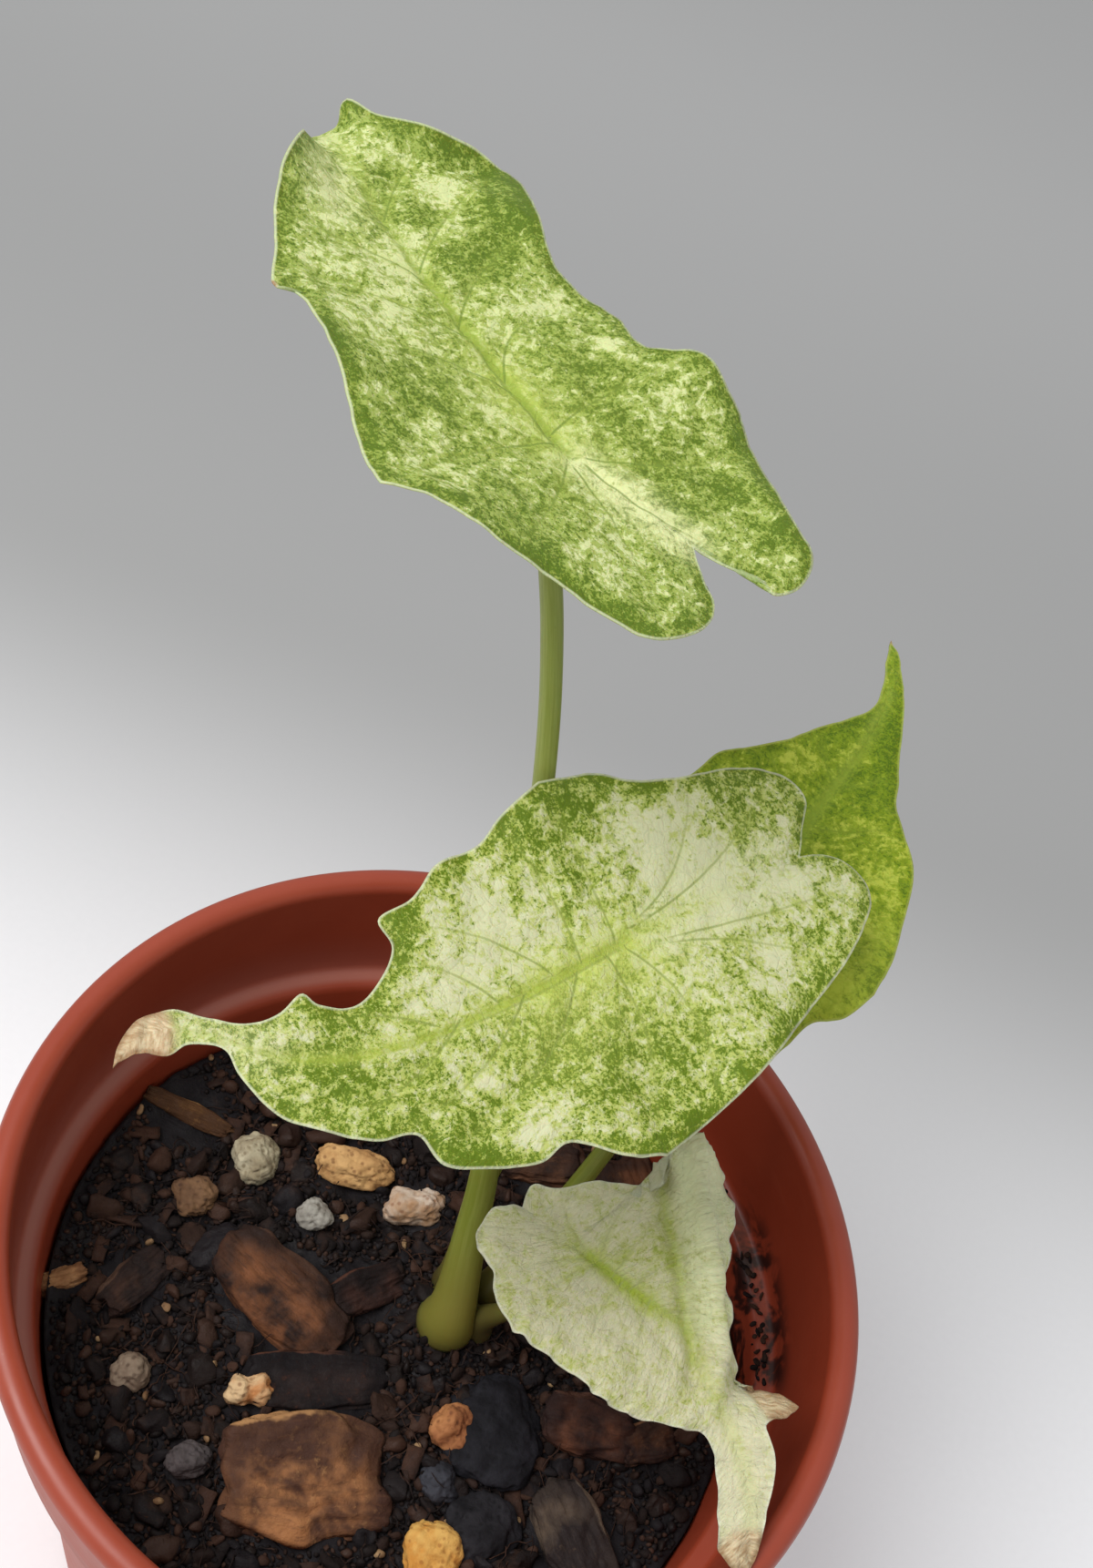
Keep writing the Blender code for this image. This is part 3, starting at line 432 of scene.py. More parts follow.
def rise_angle(blade, x, y):
    """How steeply the blade rises across at a flat point, in radians."""
    right, left = (np.interp(np.abs(x), *np.array(blade[key], dtype=float).T)
                   for key in ("rise_right", "rise_left"))
    angle = np.where(x >= 0, right, left)
    for side, extra, start, steepest, last in blade["ears"]:
        stands = ease((y - start) / (steepest - start)) * (1 - ease((y - steepest) / (last - steepest)))
        angle = angle + np.where(x * side > 0, extra * stands * ease(np.abs(x) / EAR_START), 0)
    for side, extra, x0, y0, x1, y1, width, end in blade["creases"]:
        dx, dy = x1 - x0, y1 - y0
        beyond = ((np.abs(x) - x0) * dy - (y - y0) * dx) / math.hypot(dx, dy)
        turned = extra * ease(beyond / (width * FOLD_CRISPNESS) + 0.5) * (1 - ease((y - end) / FOLD_FADE))
        angle = angle + np.where(x * side > 0, turned, 0)
    return np.radians(angle)


def bend_points(blade, flat):
    """Carry flat points of a blade, in millimetres, to where they are in space."""
    x, y = flat[:, 0], flat[:, 1]
    table_y, points, across, out = midrib(blade)
    base, side, up = (np.stack([np.interp(y, table_y, grid[:, k]) for k in range(3)], 1)
                      for grid in (points, across, out))
    share = (np.arange(RIB_SAMPLES) + 0.5) / RIB_SAMPLES
    angle = rise_angle(blade, x[:, None] * share[None], np.repeat(y[:, None], RIB_SAMPLES, 1))
    reach = np.cos(angle).mean(1) * x
    lift = np.sin(angle).mean(1) * np.abs(x)
    for sign, height, length, phase in blade["waves"]:
        wave = height * (np.abs(x) / 14) ** 2 * np.sin(2 * np.pi * (y / length + phase))
        lift = lift + np.where(x * sign > 0, wave, 0)
    return base + side * reach[:, None] + up * lift[:, None]


# %% [markdown]
# ## A fine grid over the leaf
# Ribs run from the midrib to the margin, closer together than the real veins, so that the sheet can
# hold relief. Each point knows how far it is from the midrib, from the margin and from the nearest
# vein. The material reads the same numbers, so colour and relief stay together.

# %% Blade grid
LOBE_RIBS = 84
TIP_RIBS = 168
RIB_ROWS = 42
RIB_LEAN = 1.35
# The margin is compared in parts, to save memory
MARGIN_PARTS = 12


def margin_curve(blade, side):
    """The margin of one half at each rib, from the notch round the lobe to the tip."""
    outline = [blade["spine"][0], *blade[side], blade["spine"][-1]]
    widest = max(range(len(outline)), key=lambda k: abs(outline[k][0]))
    lobe = smooth_curve(outline[:widest + 1], np.linspace(0, 1, LOBE_RIBS + 1))
    tip = smooth_curve(outline[widest:], np.linspace(0, 1, TIP_RIBS + 1))
    return np.vstack([lobe, tip[1:]])


def rib_feet(blade):
    """Where the ribs leave the midrib: up from the notch to the junction, then to the tip."""
    spine = blade["spine"]
    junction = spine.index((0, 0))
    lobe = smooth_curve(spine[:junction + 1], np.linspace(0, 1, LOBE_RIBS + 1))
    tip = smooth_curve(spine[junction:], np.linspace(0, 1, TIP_RIBS + 1) ** RIB_LEAN)
    return np.vstack([lobe, tip[1:]])


def flat_grid(blade):
    """Flat points by rib and column, from the left margin over the midrib to the right margin."""
    feet = rib_feet(blade)[:, None, :]
    share = (np.arange(1, RIB_ROWS + 1) / RIB_ROWS)[None, :, None]
    right = feet + (margin_curve(blade, "right")[:, None, :] - feet) * share
    left = feet + (margin_curve(blade, "left")[:, None, :] - feet) * share
    return np.concatenate([left[:, ::-1], feet, right], axis=1)


def vein_lines(blade):
    """Each vein as short straight pieces of a bowed line."""
    lines = []
    for x0, y0, x1, y1, bow in blade["veins"]:
        t = np.linspace(0, 1, 13)[:, None]
        start, end = np.array([x0, y0]), np.array([x1, y1])
        way = end - start
        right = np.array([way[1], -way[0]]) / np.linalg.norm(way)
        lines.append(start + way * t + right * bow * 4 * t * (1 - t))
    return lines


def vein_distance(blade, flat):
    """For each flat point: signed and plain distance to the nearest vein, how far along it is, and
    how much farther the next vein is."""
    best = np.full(len(flat), 1e9)
    second = np.full(len(flat), 1e9)
    signed = np.zeros(len(flat))
    along = np.zeros(len(flat))
    for line in vein_lines(blade):
        near = np.full(len(flat), 1e9)
        side = np.zeros(len(flat))
        part = np.zeros(len(flat))
        for k, (a, b) in enumerate(zip(line, line[1:])):
            way = b - a
            t = np.clip(((flat - a) @ way) / (way @ way), 0, 1)
            off = flat - (a + t[:, None] * way)
            distance = np.hypot(off[:, 0], off[:, 1])
            nearer = distance < near
            near = np.where(nearer, distance, near)
            side = np.where(nearer, np.sign(way[0] * off[:, 1] - way[1] * off[:, 0]) * distance, side)
            part = np.where(nearer, (k + t) / (len(line) - 1), part)
        second = np.minimum(second, np.maximum(near, best))
        wins = near < best
        signed = np.where(wins, side, signed)
        along = np.where(wins, part, along)
        best = np.minimum(best, near)
    return signed, best, along, second - best


def margin_distance(grid):
    """Distance of each flat point to the nearest margin point."""
    margin = np.concatenate([grid[:, 0], grid[:, -1]])
    flat = grid.reshape(-1, 2)
    nearest = np.full(len(flat), 1e9)
    for part in np.array_split(margin, MARGIN_PARTS):
        gap = np.hypot(flat[:, None, 0] - part[None, :, 0], flat[:, None, 1] - part[None, :, 1])
        nearest = np.minimum(nearest, gap.min(1))
    return nearest


def patch_field(flat, patches):
    """The sum of soft round patches: (x, y, radius, strength)."""
    field = np.zeros(len(flat))
    for x, y, radius, strength in patches:
        field += strength * np.exp(-((flat[:, 0] - x) ** 2 + (flat[:, 1] - y) ** 2) / radius ** 2)
    return field


def mark_field(flat, marks):
    """Soft lines laid over each other: (x0, y0, x1, y1, half width, strength)."""
    bare = np.ones(len(flat))
    for x0, y0, x1, y1, width, strength in marks:
        start, way = np.array([x0, y0]), np.array([x1 - x0, y1 - y0])
        share = np.clip((flat - start) @ way / max(way @ way, 1e-9), 0, 1)
        off = flat - start - share[:, None] * way
        bare *= 1 - strength * np.exp(-(off ** 2).sum(1) / width ** 2)
    return 1 - bare


# %% [markdown]
# ## Where each leaf is green, pale or dry
# The mottling on a variegated leaf comes from cell lines that did or did not make chlorophyll, so it
# has large greener and paler regions with fine speckle inside them. The regions are given as soft
# patches, positive where greener; a few of them are painted light and shade instead. The speckle inside
# them is noise, in the material. Marks are soft lines: a yellow-green glow along the midrib and in a
# valley, and pale streaks, some of them painted light and a painted sheen.

# %% Patches
# Greener and paler patches of the mottling; a few stand in for light instead: the greener one left of the
# small blade's midrib is painted shade, and the pale ones on the rear blade's lower lobe are painted light
GREENER_AND_PAINTED_SHADING = {
    "blade_top": [(13, 27, 3.8, 1.3), (14.6, 33, 2.2, 1.0), (11.5, 37, 2.0, 0.9), (7, 40.5, 1.4, 0.7),
                  (5, 21.5, 3.6, 0.9), (8.5, 23.5, 2.6, 0.6), (3.2, 29.5, 2, 0.7), (4.5, 35, 1.8, 0.5),
                  (8, 6, 4, 0.8),
                  (5.5, 3, 2.5, 0.5), (9, 12, 2.5, 0.3), (13, 13, 1.6, 0.4), (16.5, -6, 3.2, 0.8),
                  (8, -8, 4, 0.6), (12, -12, 3, 0.7), (11, -17.5, 2.4, 0.8), (6.5, -4, 2.5, 0.4),
                  (-8, 8, 3.6, 0.7), (-6.5, -5, 3.2, 0.6), (-15, 13, 2.8, 1.0), (-16.5, 5, 2.6, 0.6),
                  (-17, -2.5, 2.2, 0.5), (-12, -6, 3, 0.5), (-13, -11, 2.4, 0.8), (-9.5, -16, 3, 0.9),
                  (-5, -19, 2, 0.4), (-7.5, 20, 2.2, 0.4), (-8.5, 30, 1.6, 0.5), (-4, 38.5, 1.8, 0.6),
                  (-1, 44, 1.6, 0.6),
                  (8, 31.6, 1.9, -1.0), (5.2, 36.6, 1.5, -0.8), (-3, 22.5, 3.2, -0.9), (-7.5, 16, 2.8, -1.0),
                  (-4, 4, 2.2, -0.6), (-4, 32, 2.5, -0.7), (2, 26, 1.8, -0.8), (11.5, 8.5, 2.0, -0.9),
                  (12.5, -1, 2.2, -0.7), (-5.5, -11, 2.2, -0.8), (0.5, 41, 2.5, -0.8), (6, 15.5, 3, -0.6),
                  (-10, 24, 2.2, -0.5), (10, 17, 2.4, -0.3), (-13, -1, 2, -0.3)],
    "blade_middle": [(-8, 8, 6, 0.7), (-12, 2, 4, 0.6), (-16.5, 2, 2.2, 0.9), (-17, 7, 2, 0.7),
                     (-4, 8, 3, 0.4), (-5, 13, 3, 0.6), (-8.5, 21, 3.5, 1.0), (-11.5, 19, 2, 0.5),
                     (-2, 22, 3, 0.6), (0.5, 27, 3, 0.9), (-4, 28, 2.5, 0.8), (-2, 33, 2, 0.4),
                     (-15, -3, 2, 0.6), (-13.5, -10, 1.6, 0.5), (-11, -16, 2, 0.4), (-7, -18, 2.2, 0.5),
                     (-5, -22, 2.2, 0.4), (-8, -9, 2, 0.3), (-9, -3, 3, 0.4), (6, -18, 3, 0.8),
                     (8.5, -20, 2.4, 0.7), (5, -24, 2, 0.5), (12.5, 3.5, 2.6, 1.0), (13.5, -3, 2.6, 1.2),
                     (13.5, -7, 2, 0.9), (11.8, -11, 1.6, 0.8), (9.5, 1, 2, 0.7), (5, 2.5, 1.6, 0.6),
                     (7.5, 6.5, 1.5, 0.5), (4.5, -4, 1.6, 0.4), (6, 18.5, 2, 0.8), (9.5, 17.5, 1.8, 0.9),
                     (11, 13, 1.8, 0.6), (3, 22, 1.5, 0.5),
                     (4, 16, 2.8, -0.9), (6, 10, 3, -0.9), (9, 10, 2.2, -0.6), (4, -9, 3.4, -1.0),
                     (8, -9, 3, -0.9), (1.5, -13, 2.6, -1.0), (-1.8, -12, 2.4, -0.9), (-2, -19, 2, -1.0),
                     (-2, -23, 1.6, -0.8), (-10, -12, 1.8, -0.6), (-12, 14.5, 2, -0.8),
                     (-6.5, 16, 1.6, -0.5), (3.5, 36, 2.2, -0.6), (5.5, 40, 2, -0.3), (0, 31, 3, 0.4),
                     (-7, -13.5, 1.6, -0.5), (9, -14.5, 1.8, -0.6)],
    "blade_rear": [(3, 20, 3.5, 0.8), (1.5, 27, 3, 0.8), (0, 14, 2, 0.4), (-2, 25, 2, 0.4),
                   (13.2, -1, 1.4, 0.3), (12.5, 6, 1.5, 0.3), (9.5, 10, 3, -0.9), (6, 15, 2.4, -0.7),
                   (-4, 17.5, 2.5, -0.6), (-6, 12, 2.5, -0.6), (10.8, 4, 2.2, -1.0),
                   (10.5, -4, 2.4, -1.1), (-12, 9, 2, -0.5),
                   (-8, -3, 3, -0.5), (5, -9, 3, -0.5), (7, -13, 4, -0.8)],
    "blade_small": [(-5.5, 9, 2.2, 0.5), (-5, 4, 2.8, 0.8), (3.5, 8.5, 2, 0.3), (6.5, 9, 1.6, 0.3),
                    (9.8, 5, 1.8, 0.6), (8, 11, 1.2, 0.4), (5, 13.5, 2, 0.2), (1, 15.5, 2.5, 0.5),
                    (9.5, -3, 1.4, 0.3), (-8, -3.5, 2, 0.2), (4, -5, 2.4, -0.4), (6, -8, 2, -0.4),
                    (-13, 0, 3.5, -0.8),
                    (-16, 1.5, 3, -0.8), (-12, 6.5, 2, -0.6), (-3, 23, 4, -1.0),
                    (-2.5, 28.5, 4, -1.2), (7, 14, 1.5, -0.5)],
}
DRY = {
    "blade_top": [(-16.4, 20.4, 1.0, 0.8)],
    "blade_middle": [(3.7, 45.8, 3.8, 1.3)],
    "blade_rear": [(-2.2, 41, 1.2, 0.7)],
    "blade_small": [(-8.8, 18.2, 2.2, 1.4), (-2.4, 31.5, 3.2, 1.3)],
}
# Each mark: from x, y to x, y, half width and strength
GLOW = {
    "blade_top": [(0, -1, 0.2, 8, 2.2, 0.75), (0.2, 8, 0.3, 22, 1.0, 0.45), (0, 0, 0, 10, 6, 0.25)],
    "blade_middle": [(-0.2, -1, -0.4, 8, 2.2, 0.85), (-0.4, 8, -0.2, 26, 1.1, 0.5),
                     (-2.5, -2, -4, 10, 4.5, 0.35)],
    "blade_rear": [(0, -1, 0, 8, 1.6, 0.4), (0, 8, -0.2, 33, 0.8, 0.65)],
    "blade_small": [(0.2, -0.6, -1.3, 6, 1.2, 1.0), (-1.3, 6, -3, 10, 0.9, 0.55),
                    (-10.4, -2, -1.6, 12.8, 0.4, 0.75), (-8.6, 0.5, -3, 10, 1.6, 0.3)],
}
# Pale streaks, and painted light: the middle blade's sheen along its sinus, the small blade's lit ridge band
# and the flank beyond it, the rear blade's lower lobe in the middle blade's shade, and the top blade's left
# ear, which faces away from the lamp
PALE_AND_PAINTED_LIGHT = {
    "blade_top": [(0.5, -2.5, 3.3, -13.2, 1.9, 1.0), (-4, 31, -3, 38, 3.5, 0.3)],
    "blade_middle": [(-2, -4, -2.2, -21, 1.3, 0.5), (1.4, -4, 1.8, -20, 1.1, 0.45),
                     (2.5, 34, 4.5, 41, 2.2, 0.35)],
    "blade_rear": [(13, 5, 11, -4, 2.2, 0.45), (11, -4, 6, -14, 3.6, 0.7)],
    "blade_small": [(-13.4, -2, -5, 10.4, 1.7, 1.0), (-16.5, 0, -8, 12, 2.6, 0.75)],
}

print("green and pale patches:", {name: len(patches) for name, patches in GREENER_AND_PAINTED_SHADING.items()})

# %% [markdown]
# ## From grid to solid blade
# The real blade is about 0.4 mm thick, thins to its margin, and swells slightly between its sunk
# veins. Solidify would give both faces one form, so the two faces are set off from the grid by hand,
# along the sheet's own normals, and a strip closes the margin.

# %% Blade mesh
BLADE_THICKNESS = 0.42
MARGIN_THICKNESS = 0.14
MARGIN_TAPER = 1.6
RELIEF_FADE = 2.2
QUILT_HEIGHT = 0.2
QUILT_REACH = 1.7
# Two noises over the leaf: spots for each millimetre, height, and height where it is dry
RIPPLE = (0.45, 0.22, 0.2)
GRAIN = (1.3, 0.05, 0.35)
# Depth or height and half width of the grooves above and the ridges below
VEIN_GROOVE = (0.07, 0.3)
VEIN_RIDGE = (0.16, 0.45)
MIDRIB_GROOVE = (0.2, 0.55)
MIDRIB_RIDGE = (0.75, 0.75)
# Each fold or swelling: from x, y to x, y, half width and height
RELIEF = {
    "blade_top": [(13, 26, 8, 37, 2.0, 0.35), (14, -8, 12, -17, 1.6, 0.3),
                  (5.1, 43.1, 5.4, 42.8, 1.25, 1.8)],
    "blade_middle": [(-16, 3, -8, 21, 1.8, 0.35), (-4, 4, -9, 18, 1.6, -0.25)],
    "blade_rear": [],
    "blade_small": [(-12.3, -5, -1, 14, 0.9, -1.15), (-16.6, -4.2, -4.6, 13, 1.0, 0.6),
                    (-5, 1, -7.5, 8, 1.6, 0.3)],
}
STREAK_LENGTH = 110.0
FRILL_LENGTH = 3.4
FRILL_REACH = 1.4
FRILL = {"blade_top": 0.06, "blade_middle": 0.1, "blade_rear": 0.1, "blade_small": 0.28}


def grid_normals(points):
    """Unit normals of a grid of points, pointing out of the leaf's upper face."""
    along = np.gradient(points, axis=0)
    across = np.gradient(points, axis=1)
    normal = np.cross(across, along)
    length = np.linalg.norm(normal, axis=2, keepdims=True)
    normal = normal / np.maximum(length, 1e-9)
    normal[0] = normal[2].mean(0)
    normal[-1] = normal[-3].mean(0)
    normal[1] = normal[2]
    normal[-2] = normal[-3]
    return normal / np.linalg.norm(normal, axis=2, keepdims=True)


def both_faces(*parts):
    """Three values for each point of the grid, once for the upper and once for the lower face."""
    return np.tile(np.stack(parts, 1), (2, 1))


def line_form(form, away, size):
    """A soft groove or ridge along a vein."""
    height, width = form
    return height * size * np.exp(-(away / width) ** 2)


def make_blade(name):
    """One fine blade, with its flat place, veins, form, tint and marks carried at its points."""
    blade = BLADES[name]
    grid = flat_grid(blade)
    ribs, columns = grid.shape[:2]
    flat = grid.reshape(-1, 2)
    sheet_points = bend_points(blade, flat).reshape(ribs, columns, 3)
    normal = grid_normals(sheet_points).reshape(-1, 3)
    points = sheet_points.reshape(-1, 3)

    signed, near, along, apart = vein_distance(blade, flat)
    edge = margin_distance(grid)
    column = np.tile(np.arange(columns) - RIB_ROWS, ribs)
    feet = np.repeat(grid[:, RIB_ROWS], columns, axis=0)
    from_rib = np.hypot(*(flat - feet).T) * np.sign(column)
    tip = np.repeat(np.linspace(0, 1, ribs), columns)
    lobe = LOBE_RIBS / (ribs - 1)
    rib_size = np.where(tip < lobe, ease(tip / lobe * 1.2 - 0.2), 1 - 0.75 * (tip - lobe) / (1 - lobe))
    fade = ease(edge / RELIEF_FADE)
    vein_size = (1 - 0.75 * along) * fade

    scale, ripple_height, dry_ripple = RIPPLE
    ripple = np.array([noise.noise(Vector((x * scale, y * scale, 5.0))) for x, y in flat])
    scale, grain_height, dry_grain = GRAIN
    grain = np.array([noise.noise(Vector((x * scale, y * scale, 9.0))) for x, y in flat])
    dry = np.clip(patch_field(flat, DRY[name]), 0, 1)
    body = (QUILT_HEIGHT * (1 - np.exp(-(near / QUILT_REACH) ** 2)) * fade
            + ripple_height * ripple * fade + grain_height * grain * fade
            + dry * (dry_grain * grain + dry_ripple * ripple))
    for *line, width, height in RELIEF[name]:
        body += height * mark_field(flat, [(*line, width, 1.0)])
    frill = np.sin(2 * np.pi * flat[:, 1] / FRILL_LENGTH + 3 * ripple)
    body += FRILL[name] * frill * np.exp(-edge / FRILL_REACH)
    groove = line_form(MIDRIB_GROOVE, from_rib, rib_size) + line_form(VEIN_GROOVE, near, vein_size)
    ridge = line_form(MIDRIB_RIDGE, from_rib, rib_size) + line_form(VEIN_RIDGE, near, vein_size)
    thick = MARGIN_THICKNESS + (BLADE_THICKNESS - MARGIN_THICKNESS) * ease(edge / MARGIN_TAPER)
    upper = points + normal * (body + thick / 2 - groove)[:, None]
    lower = points + normal * (body - thick / 2 - ridge)[:, None]

    index = np.arange(ribs * columns).reshape(ribs, columns)
    index[0] = index[0, 0]
    index[-1] = index[-1, 0]
    corners = np.stack([index[:-1, :-1], index[:-1, 1:], index[1:, 1:], index[1:, :-1]], axis=2)
    corners = corners.reshape(-1, 4)
    count = ribs * columns
    faces = [*corners, *(corners[:, ::-1] + count)]
    for side, turn in ((0, 1), (columns - 1, -1)):
        for a, b in zip(index[:-1, side], index[1:, side]):
            faces.append([a, b, b + count, a + count][::turn])
    faces = [list(dict.fromkeys(int(v) for v in face)) for face in faces]

    made = add_mesh(name, np.vstack([upper, lower]), faces)
    print(name, ribs, "ribs of", columns, "points, rib lengths up to", round(np.abs(from_rib).max(), 1), "mm")
    under = np.concatenate([np.zeros(count), np.ones(count)])
    spread = np.repeat(np.linspace(0, 1, ribs) * STREAK_LENGTH, columns)
    carry(made, "flat", both_faces(*flat.T, np.zeros(count)))
    carry(made, "streak", both_faces(spread, from_rib, np.zeros(count)))
    carry(made, "veins", both_faces(signed, near, vein_size))
    carry(made, "form", np.column_stack([np.tile(from_rib, 2), np.tile(edge, 2), under]))
    carry(made, "tint", both_faces(patch_field(flat, GREENER_AND_PAINTED_SHADING[name]), dry, rib_size))
    marks = (mark_field(flat, table[name]) for table in (GLOW, PALE_AND_PAINTED_LIGHT))
    carry(made, "marks", both_faces(*marks, apart))
    shape = bmesh.new()
    shape.from_mesh(made.data)
    loose = [vert for vert in shape.verts if not vert.link_faces]
    bmesh.ops.delete(shape, geom=loose, context="VERTS")
    shape.to_mesh(made.data)
    shape.free()
    return made


# %% [markdown]
# ## Leaf finish
# Colour goes on in layers, as in the leaf: a cream ground where there is no chlorophyll, a green haze
# over the greener regions, darker speckle in clusters, yellow-green along the midrib and the veins,
# and a thin pale margin. Part of the speckle is stretched along the ribs, as the cells grew. Pale marks
# add painted light and a painted sheen in places, and a dark line beside the midrib is painted shade.

# %% Leaf finish
# Each row has its value for the top, middle, rear and small blade
LEAF_LOOKS = {
    "cream": ((212, 220, 156), (210, 211, 168), (184, 196, 70), (216, 211, 174)),
    "haze": ((162, 179, 88), (184, 193, 106), (140, 161, 28), (204, 203, 148)),
    "green": ((129, 150, 52), (139, 158, 48), (116, 142, 14), (178, 185, 98)),
    "dark": ((84, 110, 20), (86, 112, 6), (82, 112, 6), (156, 167, 74)),
    "glow": ((184, 200, 90), (190, 202, 96), (162, 180, 66), (176, 191, 60)),
    "rib": ((144, 165, 58), (158, 173, 60), (136, 157, 40), (166, 182, 62)),
    "light": ((228, 233, 170), (219, 221, 174), (190, 206, 68), (228, 230, 180)),
    "vein": ((116, 138, 52), (134, 148, 68), (120, 144, 30), (170, 172, 118)),
    "margin": ((214, 222, 180), (214, 217, 186), (172, 186, 92), (220, 217, 194)),
    "under": ((160, 175, 112), (174, 181, 134), (130, 149, 60), (194, 193, 164)),
    "green_at": (0.05, 0.1, -0.02, 0.2),
    "dark_at": (0.14, 0.16, 0.16, 0.34),
    "cream_at": (0.07, -0.01, 0.12, -0.06),
    "rim": (0.15, 0.17, 0.08, 0.05),
    "shine": (0.45, 0.45, 0.45, 0.5),
    "wrinkle": (0.12, 0.16, 0.1, 0.34),
    "rib_end": (42.0, 46.0, 40.0, 13.0),
    "rib_low": (0.1, 0.2, 0.1, 0.0),
    "blur": (0.09, 0.14, 0.12, 0.12),
    "halo": (0.3, 0.35, 0.2, 0.1),
    "lines": (0.8, 0.8, 0.85, 0.4),
    "shade": (0.5, 0.5, 0.2, 0.3),
}
DRY_COLOURS = (colour(174, 144, 106), colour(222, 204, 166), colour(132, 94, 58))
# Noises on the flat leaf, from broad regions to specks: spots for each millimetre, detail,
# roughness and distortion
MOTTLING = ((0.24, 2.0, 0.6, 0.5), (0.75, 4.0, 0.7, 0.8), (1.6, 4.0, 0.7, 0.3), (3.6, 3.0, 0.75, 0.2))


def leaf_look(name):
    """The values of one leaf, with its colours made ready for the shader."""
    row = list(BLADES).index(name)
    values = {key: choices[row] for key, choices in LEAF_LOOKS.items()}
    return {key: colour(*value) if isinstance(value, tuple) else value for key, value in values.items()}


